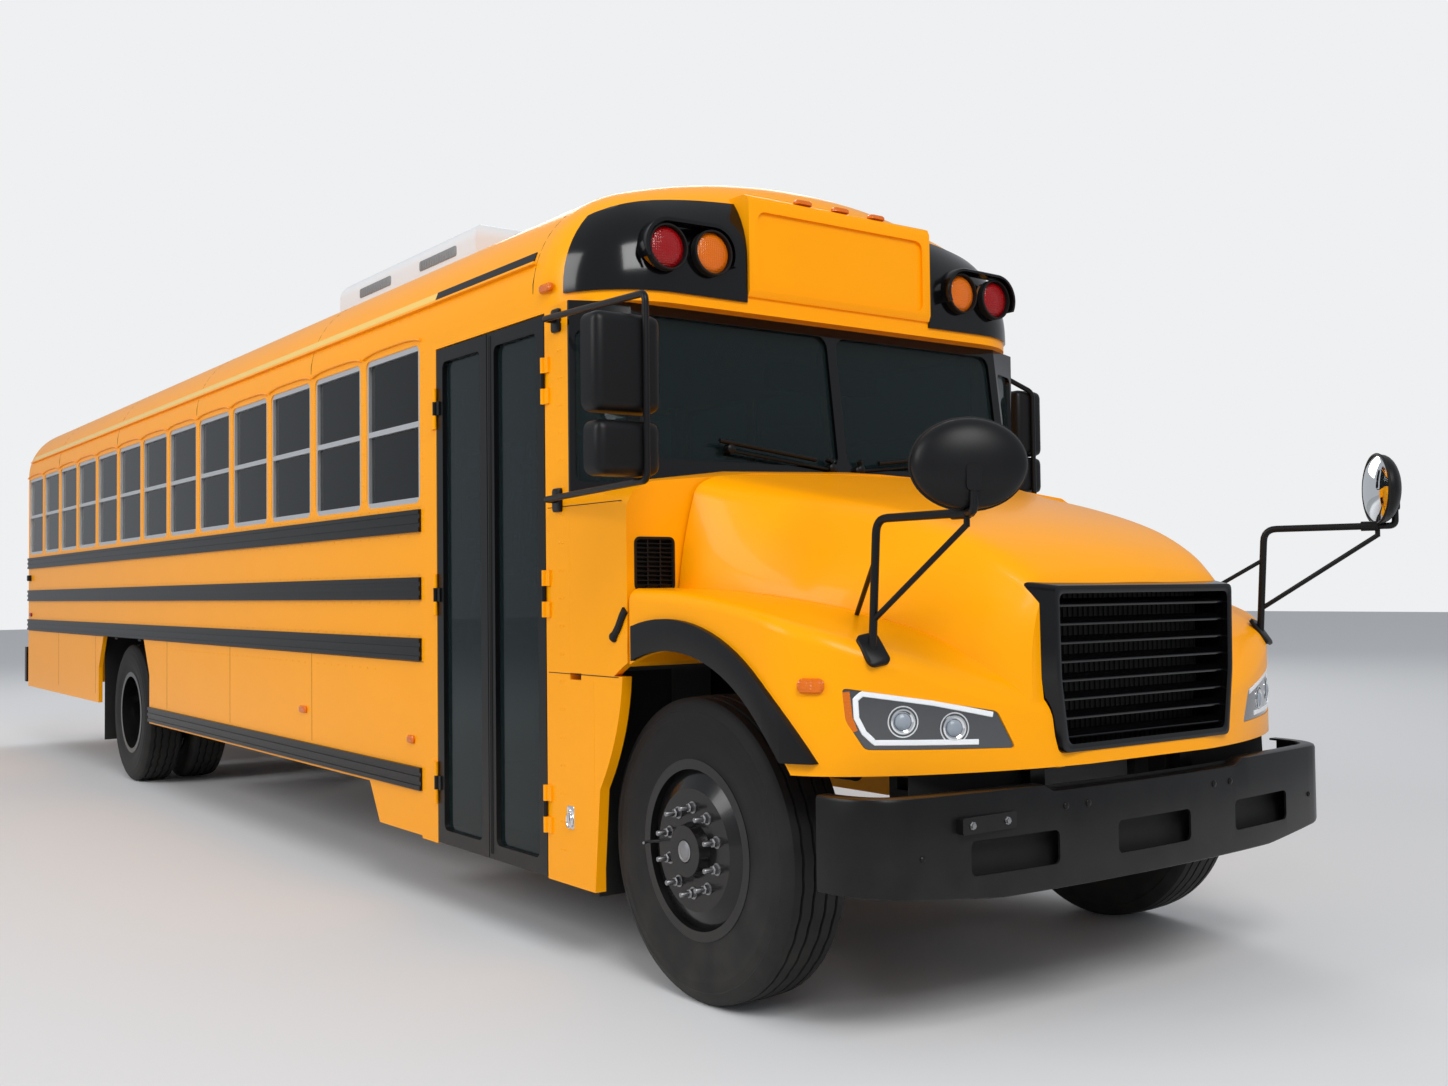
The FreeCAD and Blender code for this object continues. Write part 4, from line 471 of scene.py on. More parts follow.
def make_tyres():
    """Ribbed tyres in place of the plain solids: four straight grooves and ringed sidewalls."""
    front_centre, half_width = 1.027, 0.135
    inner, outer = [corner.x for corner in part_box("rear_tyres_left")]
    rows = (("Front", "front_tyre", "front_wheel", (front_centre,), 0.011, 0.0012, AXLE),
            ("Rear", "rear_tyres", "rear_wheels", (outer - half_width, inner + half_width), 0.014, 0.003,
             REAR_AXLE))
    for side, label in SIDES:
        for where, node, body, places, groove, wobble, along in rows:
            shell = bmesh.new()
            profile, waver = tyre_profile(groove, wobble)
            for across in places:
                lathe(shell, profile, Vector((side * across, along, HUB)), RIGHT, 144, waver)
            made = add_piece(f"{where}Tread_{label}", shell, tyre_rubber, f"{body}_{label}", 30)
            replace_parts(made, f"{node}_{label}")


def make_wheel_nuts():
    """Ten flanged nuts on long studs round every hub, the oil cap and the valve stem."""
    nut_circle, cap_reach, bolt_circle = 0.143, 0.050, 0.069
    wheels = (("front", "front_rim", "front_wheel", AXLE), ("rear", "rear_rims", "rear_wheels", REAR_AXLE))
    for side, label in SIDES:
        axis = Vector((side, 0, 0))
        for where, node, body, along in wheels:
            disc = surface_of(f"{node}_{label}")
            hits = [disc.ray_cast(Vector((side * 1.6, along + reach * 0.8, HUB + reach * 0.6)), -axis)[0]
                    for reach in (nut_circle, cap_reach)]
            face, cap = [abs(place.x) if place else 1.0 for place in hits]
            shell = bmesh.new()
            for index in range(10):
                turn = 2 * math.pi * (index + 0.5) / 10
                place = Vector((side * face, along + nut_circle * math.cos(turn),
                                HUB + nut_circle * math.sin(turn)))
                lathe(shell, [(-0.004, 0.0), (-0.004, 0.021), (0.003, 0.021), (0.005, 0.0)], place, axis, 16)
                lathe(shell, [(0.0, 0.0), (0.0, 0.0165), (0.019, 0.0165), (0.022, 0.013), (0.022, 0.0)],
                      place, axis, 6)
                lathe(shell, [(0.018, 0.0), (0.018, 0.0095), (0.052, 0.0095), (0.055, 0.0075), (0.055, 0.0)],
                      place, axis, 12)
            add_piece(f"WheelNuts_{where}_{label}", shell, bright_steel, f"{body}_{label}")
            shell = bmesh.new()
            lathe(shell, [(-0.004, 0.0), (-0.004, 0.036), (0.001, 0.036), (0.003, 0.030), (0.0015, 0.026),
                          (0.004, 0.020), (0.004, 0.0)], Vector((side * cap, along, HUB)), axis, 32)
            if where == "front":
                bolts = [(Vector((side * (cap - 0.037), along + bolt_circle * math.cos(turn),
                                  HUB + bolt_circle * math.sin(turn))), axis)
                         for turn in (math.pi / 3 * index for index in range(6))]
                domes(shell, bolts, 0.008, 0.007, 6)
            stem = [Vector((side * (face + out), along + back, HUB))
                    for out, back in ((-0.02, 0.22), (0.03, 0.232), (0.055, 0.222))]
            sweep(shell, stem, BACK, round_section(0.005))
            add_piece(f"HubCap_{where}_{label}", shell, bright_steel, f"{body}_{label}")


def skin_path(tree, points):
    """Points seen square from the front, dropped rearwards on a curved skin; returns places and normals."""
    hits = [drop_on(tree, spot(across, AHEAD, up), BACK) for across, up in points]
    return [place for place, _ in hits], [normal for _, normal in hits]


def between(points, count):
    """Evenly divides each leg of a 2-D line into count steps."""
    made = []
    for (x0, z0), (x1, z1) in zip(points, points[1:]):
        made += [(x0 + (x1 - x0) * i / count, z0 + (z1 - z0) * i / count) for i in range(count)]
    return made + [points[-1]]


def make_headlamp_insides():
    """White light guide, amber corner and two bezelled projectors on each headlamp."""
    tree = surface_of("HeadlampCover_right", "HeadlampCover_left")
    guide = [(0.672, 0.998), (0.86, 1.040), (1.050, 1.072), (1.066, 1.055), (1.064, 1.000), (1.046, 0.955),
             (1.020, 0.925), (0.86, 0.921), (0.72, 0.917)]
    corner = [(1.089, 1.078), (1.083, 1.0), (1.071, 0.958)]
    strips = (("HeadlampGuide", guide, bar(0.017, 0.004, 0.006, 0.5), light_guide, None),
              ("HeadlampCorner", corner, bar(0.026, 0.003, 0.006, 0.5), amber_lens, "amber_lens"))
    radius = 0.036
    bezel = [(-0.01, radius - 0.010), (-0.01, radius), (0.004, radius + 0.002), (0.005, radius - 0.003),
             (0.001, radius - 0.009)]
    outer_ring = [(-0.01, radius + 0.008), (-0.01, radius + 0.012), (0.0022, radius + 0.012),
                  (0.0022, radius + 0.008)]
    lens = [(-0.006, 0.0), (-0.006, radius - 0.010), (0.002, radius - 0.011), (0.007, radius * 0.55),
            (0.0095, radius * 0.25), (0.010, 0.0)]
    for side, label in SIDES:
        for name, line, section, material, slot in strips:
            shell = bmesh.new()
            places, normals = skin_path(tree, [(side * x, z) for x, z in between(line, 6)])
            sweep(shell, places, normals, section)
            add_piece(f"{name}_{label}", shell, material, "hood")
        rings, lenses = bmesh.new(), bmesh.new()
        for across, up in ((0.945, 0.986), (0.795, 0.962)):
            place, normal = drop_on(tree, spot(side * across, AHEAD, up), BACK)
            lathe(rings, bezel, place, normal, 40)
            lathe(rings, outer_ring, place, normal, 40)
            lathe(lenses, lens, place, normal, 40)
        add_piece(f"HeadlampBezels_{label}", rings, chrome, "hood")
        add_piece(f"HeadlampProjectors_{label}", lenses, lamp_glass, "hood")


def make_lamp_rims():
    """Black rims round the warning lamps and tail lamps, and the small amber and red markers."""
    front_rim = [(-0.012, 0.0815), (-0.012, 0.090), (0.018, 0.090), (0.0215, 0.087), (0.021, 0.0815)]
    rear_rim = [(-0.004, 0.0815), (-0.004, 0.095), (0.010, 0.095), (0.014, 0.091), (0.013, 0.0815)]
    tail_rim = [(-0.004, 0.0895), (-0.004, 0.100), (0.009, 0.100), (0.012, 0.096), (0.011, 0.0895)]
    shell = bmesh.new()
    for side, _ in SIDES:
        for across, up in LAMP_CENTRES:
            lathe(shell, front_rim, spot(side * across, 0.500, up), -BACK, 48)
            lathe(shell, rear_rim, Vector((side * across, REAR_FACE, up - REAR_LAMP_DROP)), BACK, 48)
        for up in TAIL_HEIGHTS:
            lathe(shell, tail_rim, Vector((side * TAIL_ACROSS, REAR_FACE, up)), BACK, 48)
    add_piece("LampRims", shell, rubber, "root")
    shell = bmesh.new()
    for side, _ in SIDES:
        for along, up, wide in ((3.518, 0.778, 0.10), (2.130, 0.726, 0.07)):
            outline = rounded(spot(side * HALF, along, up), BACK, UP, wide, 0.036, 0.015)
            plate(shell, outline, Vector((side, 0, 0)), 0.013, 0.005)
    outline = rounded(spot(-HALF, 0.853, 2.563), BACK, UP, 0.09, 0.034, 0.015)
    plate(shell, outline, Vector((-1, 0, 0)), 0.016, 0.006)
    add_piece("SideMarkers", shell, amber_lens, "root")
    shell = bmesh.new()
    for side, _ in SIDES:
        place, normal = drop_on(HOOD_SURFACE, spot(side * 1.5, -0.635, 1.096), Vector((-side, 0, 0)))
        across = normal.cross(UP).normalized()
        outline = rounded(place, across, normal.cross(across), 0.082, 0.046, 0.018)
        plate(shell, outline, normal, 0.013, 0.005, 0.004)
    add_piece("FenderMarkers", shell, amber_lens, "hood")
    shell = bmesh.new()
    rear_skin = surface_of("rear_wall")
    for across in (-0.2, 0.0, 0.2):
        place, normal = drop_on(rear_skin, Vector((across, REAR_FACE - 0.03, 3.4)), -UP)
        outline = rounded(place, RIGHT, normal.cross(RIGHT), 0.09, 0.035, 0.015)
        plate(shell, outline, normal, 0.013, 0.005, 0.004)
    for side, _ in SIDES:
        outline = rounded(Vector((side * HALF, REAR_FACE - 0.25, 1.23)), BACK, UP, 0.09, 0.034, 0.015)
        plate(shell, outline, Vector((side, 0, 0)), 0.013, 0.005)
    add_piece("RearMarkers", shell, red_lens, "root")


def roof_side(up):
    """How far out the roof's shoulder is at a height."""
    return HALF - SHOULDER + math.sqrt(SHOULDER ** 2 - (up - SHOULDER_UP) ** 2)


def roof_slope(side, up):
    """The way the roof's shoulder faces at a height."""
    return Vector((side * (roof_side(up) - HALF + SHOULDER), 0, up - SHOULDER_UP))


def make_rivets():
    """Rivet rows along the rub rails, window posts, roof edge, door posts, skirts and rear wall."""
    radius, height, corners = 0.0052, 0.0026, 7
    row_end, edge_up, edge_start = 10.95, 2.668, 1.95
    shell = bmesh.new()
    heads = []
    for side, _ in SIDES:
        out = Vector((side, 0, 0))
        start = 2.04 if side < 0 else 0.95
        for up in (1.652, 1.784, 1.345, 1.476, 1.199):
            for index in range(int((row_end - start) / 0.115)):
                heads.append((spot(side * HALF, start + 0.115 * index, up), out))
        for post in range(WINDOW_COUNT):
            along = WINDOW_START - 0.0325 + WINDOW_PITCH * post
            for index in range(9):
                heads.append((spot(side * HALF, along, 1.84 + 0.08 * index), out))
        for index in range(int((10.9 - edge_start) / 0.11)):
            place = spot(side * roof_side(edge_up), edge_start + 0.11 * index, edge_up)
            heads.append((place, roof_slope(side, edge_up)))
        for index in range(20):
            for along in (0.748, 0.772):
                heads.append((spot(side * HALF, along, 0.42 + 0.105 * index), out))
        for index in range(42):
            heads.append((spot(side * HALF, 2.55 + 0.095 * index, 1.030), out))
    domes(shell, heads, radius, height, corners)
    add_piece("BodyRivets", shell, paint, "root")
    shell = bmesh.new()
    heads = []
    for across in (-0.56, 0.56):
        for index in range(14):
            heads.append((Vector((across, REAR_FACE, 1.15 + 0.1 * index)), BACK))
    for index in range(22):
        for up in (2.50, 1.06):
            heads.append((Vector((-1.05 + 0.1 * index, REAR_FACE, up)), BACK))
    domes(shell, heads, radius, height, corners)
    add_piece("RearRivets", shell, paint, "root")


def make_seams():
    """Dark sealed joints between the body's panels."""
    shell = bmesh.new()
    joint = bar(0.003, 0.0006, 0.001)
    skirt_top, belt, wall_end = 1.081, 1.711, 10.95
    for side, _ in SIDES:
        out = Vector((side, 0, 0))
        first = 2.0 if side < 0 else 0.92
        for start, end, up in ((0.36, 0.86, skirt_top), (first, wall_end, skirt_top), (0.33, 0.86, belt)):
            sweep(shell, [spot(side * HALF, start, up), spot(side * HALF, end, up)], out, joint)
        for along in (3.4, 4.784, 6.168, 8.244, 9.628):
            sweep(shell, [spot(side * HALF, along, 0.62), spot(side * HALF, along, 1.08)], out, joint)
    arch = [(HALF, 2.56), (HALF, 2.60)]
    arch += [(HALF - SHOULDER + SHOULDER * math.cos(turn), SHOULDER_UP + SHOULDER * math.sin(turn))
             for turn in (0.12 * step for step in range(2, 11))]
    for along in (0.965, 3.4, 5.476, 7.552, 9.628):
        for side, _ in SIDES:
            path = [spot(side * x, along, z) for x, z in arch]
            outs = [Vector((side * max(x - HALF + SHOULDER, 0.02), 0, max(z - SHOULDER_UP, 0.0)))
                    for x, z in arch]
            sweep(shell, path, outs, joint)
    add_piece("PanelSeams", shell, rubber, "root")


def make_drip_rails():
    """Roof-edge gutter: black at the front, then a bright reflective band to the rear, and window drips."""
    dark, bright, lip = bmesh.new(), bmesh.new(), bmesh.new()
    band_up, lip_up = 2.715, 2.685
    for side, _ in SIDES:
        out = roof_slope(side, band_up)
        for shell, ends, section in ((dark, (0.99, 1.9), bar(0.044, 0.004)),
                                     (bright, (1.905, 10.9), bar(0.044, 0.0015, 0.001))):
            sweep(shell, [spot(side * roof_side(band_up), along, band_up) for along in ends], out, section)
        path = [spot(side * roof_side(lip_up), along, lip_up) for along in (0.97, 10.92)]
        sweep(lip, path, out, [(-0.004, -0.002), (-0.004, 0.010), (-0.009, 0.013), (-0.009, 0.016),
                               (0.002, 0.016), (0.004, 0.012), (0.004, -0.002)])
    add_piece("DripRailDark", dark, black_paint, "root")
    add_piece("ReflectiveBand", bright, reflective, "root")
    add_piece("DripLip", lip, paint, "root")
    shell = bmesh.new()
    half_width = 0.335
    section = [(-0.005, -0.002), (-0.005, 0.010), (-0.001, 0.013), (0.004, 0.009), (0.005, -0.002)]
    for side, _ in SIDES:
        for index in range(WINDOW_COUNT):
            middle = WINDOW_START + WINDOW_PITCH * index + 0.3135
            shares = [-1 + step / 6 for step in range(13)]
            path = [spot(side * HALF, middle + half_width * share, 2.556 - 0.020 * share ** 4)
                    for share in shares]
            sweep(shell, path, Vector((side, 0, 0)), section)
    add_piece("WindowDrips", shell, paint, "root")


def make_mirror_glass():
    """Silvered faces of the cross-view and rear-view mirrors, and the mirror inside."""
    dome = ((0.985, -0.003), (0.95, 0.003), (0.8, 0.012), (0.6, 0.020), (0.35, 0.026), (0.12, 0.029))
    for side, label, spread, facing in CROSSVIEWS:
        shell, rim = bmesh.new(), bmesh.new()
        across = facing.cross(UP).normalized()
        centre = spot(side * CROSSVIEW_ACROSS + spread, -1.157, CROSSVIEW_UP) + facing * 0.014
        cover(shell, [[shell.verts.new(point + facing * rise)
                       for point in oval(centre, across, UP, 0.165 * share, 0.128 * share, 40)]
                      for share, rise in dome])
        add_piece(f"CrossviewGlass_{label}", shell, mirror_silver, "hood")
        path = oval(centre, across, UP, 0.1655, 0.1285, 48)
        outs = [(point - centre).normalized() for point in path]
        sweep(rim, path, outs, round_section(0.0055, 8), True)
        add_piece(f"CrossviewRim_{label}", rim, rubber, "hood")
    shell = bmesh.new()
    faces = ((spot(-1.4615, -0.020, 2.1255), 0.215, 0.275), (spot(-1.4535, -0.020, 1.849), 0.205, 0.135),
             (spot(1.425, 0.842, 2.1905), 0.140, 0.275), (spot(1.425, 0.842, 1.935), 0.130, 0.135))
    for centre, wide, tall in faces:
        plate(shell, rounded(centre, RIGHT, UP, wide, tall, 0.030), BACK, 0.0015, 0.001, 0.004)
    add_piece("RearViewGlass", shell, mirror_silver, "root")
    shell = bmesh.new()
    plate(shell, rounded(spot(0.12, 0.80, 2.30), RIGHT, UP, 0.62, 0.115, 0.03), -BACK, 0.022, 0.008, 0.012)
    arm = [spot(0.12, 0.812, 2.33), spot(0.12, 0.815, 2.42), spot(0.12, 0.78, 2.484)]
    sweep(shell, arm, RIGHT, round_section(0.008))
    add_piece("InsideMirror", shell, black_plastic, "root")


def make_wiper_blades():
    """Wiper blades, their carriers and the pivot caps below the windshield."""
    shell = bmesh.new()
    section = [(-0.009, 0.0), (-0.006, 0.010), (0.0, 0.013), (0.006, 0.010), (0.009, 0.0), (0.002, -0.004),
               (0.0, -0.012), (-0.002, -0.004)]
    for low, high in islands("wipers"):
        pivot_x, tip_x = (high.x, low.x) if abs(high.x) < abs(low.x) else (low.x, high.x)
        y = low.y - 0.004
        start = Vector((pivot_x + (tip_x - pivot_x) * 0.18, y, low.z + 0.042))
        end = Vector((tip_x + (tip_x - pivot_x) * 0.10, y + 0.010, high.z + 0.030))
        sweep(shell, [start + (end - start) * share for share in (0, 0.25, 0.5, 0.75, 1.0)], -BACK, section)
        lathe(shell, [(-0.02, 0.0), (-0.02, 0.020), (0.010, 0.018), (0.016, 0.010), (0.017, 0.0)],
              Vector((pivot_x, y + 0.006, low.z + 0.012)), -BACK, 20)
    add_piece("WiperBlades", shell, black_plastic, "root")


def make_cowl_trim():
    """Louvred inlets in the cowl and the hood's rubber straps."""
    shell = bmesh.new()
    for side, _ in SIDES:
        middle = side * INLET_ACROSS
        for index in range(11):
            up = 1.403 + 0.0165 * index
            path = [spot(middle - 0.080, 0.310, up), spot(middle + 0.080, 0.310, up)]
            sweep(shell, path, Vector((0, -1, 0.6)), bar(0.003, 0.013, 0.004))
        for across in (-0.079, -0.027, 0.027, 0.079):
            path = [spot(middle + across, 0.308, 1.396), spot(middle + across, 0.308, 1.574)]
            sweep(shell, path, -BACK, bar(0.006, 0.006, 0.006))
        outline = rounded(spot(middle, 0.322, INLET_UP), RIGHT, UP, 0.158, 0.178, 0.014)
        plate(shell, outline, -BACK, 0.004, 0.001)
        edge = rounded(spot(middle, 0.300, INLET_UP), RIGHT, UP, 0.164, 0.184, 0.018)
        sweep(shell, edge, -BACK, bar(0.010, 0.004), True)
    add_piece("CowlInlets", shell, black_plastic, "root")
    shell = bmesh.new()
    strap = ((0.375, 1.235), (0.350, 1.262), (0.325, 1.300), (0.306, 1.322))
    for side, _ in SIDES:
        out = Vector((side, 0, 0))
        path = [spot(side * (HALF + 0.002), along, up) for along, up in strap]
        sweep(shell, path, out, bar(0.030, 0.012, 0.003, 0.5))
        domes(shell, [(spot(side * HALF, 0.385, 1.226), out)], 0.021, 0.018, 14)
    add_piece("HoodStraps", shell, rubber, "root")


def make_door_trim():
    """Door edge seals, the grab rails and the skirt latch."""
    for name, along in (("front", 1.337), ("rear", 1.347)):
        shell = bmesh.new()
        edge = [spot(-1.219, along, 0.32), spot(-1.219, along, 2.45)]
        sweep(shell, edge, -RIGHT, round_section(0.0048, 8))
        add_piece(f"DoorSeal_{name}", shell, rubber, f"entrance_leaf_{name}")
    shell = bmesh.new()
    rails = (((-1.10, 0.93, 1.20), (-1.06, 0.93, 1.45), (-0.86, 0.93, 1.95), (-0.70, 0.90, 2.05)),
             ((-1.08, 1.90, 0.95), (-0.98, 1.90, 1.50), (-0.76, 1.90, 1.98), (-0.62, 1.93, 2.02)))
    for rail in rails:
        sweep(shell, [spot(*place) for place in rail], BACK, round_section(0.016, 12))
    add_piece("GrabRails", shell, bright_steel, "root")
    shell = bmesh.new()
    place = spot(-HALF, 0.700, 0.546)
    plate(shell, rounded(place, BACK, UP, 0.052, 0.085, 0.010), -RIGHT, 0.004, 0.0015)
    ring = oval(place + Vector((-0.010, 0, -0.012)), BACK, UP, 0.018, 0.026, 20)
    sweep(shell, ring, -RIGHT, round_section(0.0038, 8), True)
    domes(shell, [(place + Vector((0, 0, 0.022)), -RIGHT)], 0.013, 0.010, 12)
    add_piece("SkirtLatch", shell, chrome, "root")


def make_roof_fittings():
    """Grilles, seam and bolts of the roof unit, and the hatch's raised ribs."""
    low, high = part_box("roof_units")
    front, top = low.y, high.z
    shell = bmesh.new()
    outline = rounded(Vector((0, front, top - 0.085)), RIGHT, UP, 0.86, 0.085, 0.02)
    plate(shell, outline, -BACK, 0.004, 0.0015)
    for index in range(7):
        up = top - 0.119 + 0.0115 * index
        sweep(shell, [Vector((-0.42, front - 0.004, up)), Vector((0.42, front - 0.004, up))],
              Vector((0, -1, 0.5)), bar(0.003, 0.007, 0.002))
    for side, _ in SIDES:
        for along in (0.45, 1.30):
            centre = Vector((side * 0.650, front + along, top - 0.115))
            plate(shell, rounded(centre, BACK, UP, 0.46, 0.055, 0.015), Vector((side, 0, 0)), 0.003, 0.001)
            for index in range(14):
                place = Vector((side * 0.652, front + along - 0.20 + 0.031 * index, top - 0.139))
                sweep(shell, [place, place + UP * 0.048], Vector((side, 0.4, 0)), bar(0.004, 0.006, 0.002))
    add_piece("RoofUnitGrilles", shell, grey_mesh, "root")
    shell = bmesh.new()
    bolts = [(Vector((across, front + along, top)), UP)
             for across in (-0.54, 0.54) for along in (0.15, 0.7, 1.2, 1.7)]
    domes(shell, bolts, 0.012, 0.006, 12)
    seam = [Vector((across, front + 0.92, top)) for across in (-0.55, 0.55)]
    sweep(shell, seam, UP, bar(0.012, 0.003))
    add_piece("RoofUnitBolts", shell, white, "root")
    shell = bmesh.new()
    low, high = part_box("roof_hatch")
    centre = Vector(((low.x + high.x) / 2, (low.y + high.y) / 2, high.z))
    for width, thick in ((0.4216, 0.006), (0.5456, 0.003)):
        plate(shell, rounded(centre, RIGHT, BACK, width, width, 0.05), UP, thick, 0.002)
    add_piece("HatchRibs", shell, white, "roof_hatch")


def make_stop_sign():
    """White border and two lamps on the blank octagon."""
    low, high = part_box("stop_arm")
    centre = Vector((high.x - 0.001, (low.y + high.y) / 2 + 0.025, (low.z + high.z) / 2))
    centre.x = drop_on(surface_of("stop_arm"), centre + RIGHT, -RIGHT)[0].x
    shell, lamps = bmesh.new(), bmesh.new()
    reach, eighth = 0.200, math.pi / 8
    ring = [centre + BACK * reach * math.cos(eighth * (1 + 2 * i)) / math.cos(eighth)
            + UP * reach * math.sin(eighth * (1 + 2 * i)) / math.cos(eighth) for i in range(8)]
    sweep(shell, ring, RIGHT, bar(0.013, 0.001, 0.001), True)
    add_piece("StopBorder", shell, sheet_white, "stop_arm")
    for up in (-0.150, 0.150):
        lathe(lamps, [(-0.002, 0.0), (-0.002, 0.036), (0.008, 0.035), (0.013, 0.024), (0.015, 0.0)],
              centre + UP * up, RIGHT, 32)
    add_piece("StopLamps", lamps, red_lens, "stop_arm")


def make_rear_fittings():
    """Door handle, blank plate and its lamp, a small black box, bumper bolts and reflective bands."""
    handle_x = 0.36
    shell = bmesh.new()
    grip = [Vector((handle_x, REAR_FACE + out, up))
            for out, up in ((0, 1.70), (0.03, 1.70), (0.032, 1.58), (0, 1.58))]
    sweep(shell, grip, RIGHT, round_section(0.009, 10))
    base = Vector((handle_x, REAR_FACE - 0.003, 1.64))
    plate(shell, rounded(base, RIGHT, UP, 0.05, 0.19, 0.015), BACK, 0.006, 0.002)
    add_piece("RearDoorHandle", shell, chrome, "rear_door")
    shell = bmesh.new()
    plate(shell, rounded(Vector((0.86, REAR_FACE, 1.13)), RIGHT, UP, 0.305, 0.155, 0.012), BACK, 0.003, 0.001)
    add_piece("RearPlate", shell, sheet_white, "root")
    shell = bmesh.new()
    plate(shell, rounded(Vector((0.86, REAR_FACE, 1.225)), RIGHT, UP, 0.09, 0.03, 0.01), BACK, 0.022, 0.006)
    outline = rounded(Vector((-HALF, REAR_FACE - 0.22, 1.578)), BACK, UP, 0.07, 0.055, 0.010)
    plate(shell, outline, -RIGHT, 0.030, 0.005)
    bumper_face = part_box("rear_bumper")[1].y
    for across in (-0.95, -0.45, 0.45, 0.95):
        domes(shell, [(Vector((across, bumper_face, 0.75)), BACK)], 0.016, 0.009, 14)
    add_piece("RearBlackFittings", shell, black_plastic, "root")
    shell = bmesh.new()
    bands = [((across, 1.13), (across, 2.46)) for across in (-0.56, 0.56)]
    bands += [((-0.58, up), (0.58, up)) for up in (1.105, 2.475)]
    for ends in bands:
        sweep(shell, [Vector((x, REAR_FACE, z)) for x, z in ends], BACK, bar(0.05, 0.0012, 0.001))
    add_piece("RearReflectors", shell, reflective, "root")


def make_bumper_bolts():
    """Bolts through the bumper's skin and the two on its small plate."""
    tree = surface_of("BumperChannel")
    shell = bmesh.new()
    for side, _ in SIDES:
        for across, up, radius in ((0.43, 0.705, 0.012), (0.33, 0.705, 0.012), (1.0, 0.60, 0.010)):
            domes(shell, [drop_on(tree, spot(side * across, AHEAD, up), BACK)], radius, 0.007, 14)
    add_piece("BumperBolts", shell, black_paint, "root")
    shell = bmesh.new()
    bolt = [(-0.002, 0.0), (-0.002, 0.013), (0.002, 0.013), (0.002, 0.010), (0.008, 0.009), (0.009, 0.0)]
    for across in (-0.835, -0.685):
        lathe(shell, bolt, spot(across, -0.978, 0.685), -BACK, 6)
    add_piece("PlateBolts", shell, bright_steel, "root")


PAD_CUTS, PAD_PRESSURE, PAD_FRAMES = 11, 4.0, 20


def grown_pad(size, crown, soft):
    """A padded block of the given size: crowned faces and sides that pull in between the corners."""
    shell = bmesh.new()
    bmesh.ops.create_cube(shell, size=2.0)
    bmesh.ops.subdivide_edges(shell, edges=shell.edges[:], cuts=PAD_CUTS, use_grid_fill=True)
    half = Vector(size) / 2
    for vertex in shell.verts:
        start = vertex.co.copy()
        shape = Vector([math.copysign(abs(a) ** 0.8, a) for a in start])
        fall = (1 - shape.x ** 2) * (1 - shape.y ** 2)
        body = Vector((shape.x * half.x, shape.y * half.y, shape.z * half.z))
        reach = [max(0.0, abs(a) * h - (h - soft)) for a, h in zip(shape, half)]
        corner = math.sqrt(sum(r * r for r in reach))
        if corner > soft:
            for axis in range(3):
                if reach[axis] > 0:
                    body[axis] = math.copysign(half[axis] - soft + reach[axis] * soft / corner, body[axis])
        if abs(start.z) > 0.99:
            body.z += math.copysign(crown * fall, body.z)
        vertex.co = body
    return shell


def inflate(shell, most):
    """Fills a pad with Cloth pressure and keeps every point within most of where it started."""
    mesh = bpy.data.meshes.new("PadTrial")
    shell.to_mesh(mesh)
    pad = bpy.data.objects.new("PadTrial", mesh)
    scene = bpy.context.scene
    scene.collection.objects.link(pad)
    cloth = pad.modifiers.new("Cloth", "CLOTH")
    cloth.settings.use_pressure = True
    cloth.settings.uniform_pressure_force = PAD_PRESSURE
    cloth.settings.quality = 4
    cloth.settings.mass = 0.4
    cloth.settings.tension_stiffness = 25
    cloth.settings.compression_stiffness = 25
    cloth.settings.bending_stiffness = 1.5
    cloth.settings.effector_weights.gravity = 0
    for frame_number in range(1, PAD_FRAMES + 1):
        scene.frame_set(frame_number)
    swollen = pad.evaluated_get(bpy.context.evaluated_depsgraph_get()).to_mesh()
    ends = [vertex.co.copy() for vertex in swollen.vertices]
    scene.frame_set(1)
    bpy.data.objects.remove(pad)
    shell.verts.ensure_lookup_table()
    for vertex, end in zip(shell.verts, ends):
        move = end - vertex.co
        if move.length > most:
            move = move.normalized() * most
        vertex.co = vertex.co + move
    return shell


def made_pad(size, crown, soft, swell):
    shell = grown_pad([length - 2 * swell for length in size], crown, soft)
    return inflate(shell, swell)


def copy_into(target, shell, turn):
    """Adds a copy of one shell's faces to another, moved by turn."""
    fresh = [target.verts.new(turn @ vertex.co) for vertex in shell.verts]
    shell.verts.index_update()
    for face in shell.faces:
        target.faces.new([fresh[vertex.index] for vertex in face.verts])


def make_bench_pads():
    """Crowned bench cushions and seat backs in place of the plain blocks, with sewn piping."""
    piping = round_section(0.0045, 6)
    for node, name in (("seat_cushions", "BenchCushions"), ("seat_backs", "BenchBacks")):
        boxes = islands(node)
        low, high = boxes[0]
        size = high - low
        upright = node == "seat_backs"
        flat = Vector((size.x, size.z, size.y)) if upright else size
        pad = made_pad(flat, 0.010, 0.035, 0.007)
        shell = bmesh.new()
        for low, high in boxes:
            turn = Matrix.Translation((low + high) / 2)
            if upright:
                turn = turn @ Matrix.Rotation(math.pi / 2, 4, "X")
            copy_into(shell, pad, turn)
        pad.free()
        made = add_piece(name, shell, vinyl, "root", 80)
        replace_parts(made, node)
        shell = bmesh.new()
        for low, high in boxes:
            centre = (low + high) / 2
            if upright:
                path = rounded(centre, RIGHT, UP, size.x - 0.010, size.z - 0.010, 0.035, 4)
                for along in (-1, 1):
                    shift = BACK * along * (size.y / 2 - 0.012)
                    sweep(shell, [point + shift for point in path], BACK, piping, True)
            else:
                top = centre + UP * (size.z / 2 - 0.014)
                path = rounded(top, RIGHT, BACK, size.x - 0.012, size.y - 0.012, 0.035, 4)
                sweep(shell, path, UP, piping, True)
        add_piece(f"{name}Piping", shell, vinyl, "root")


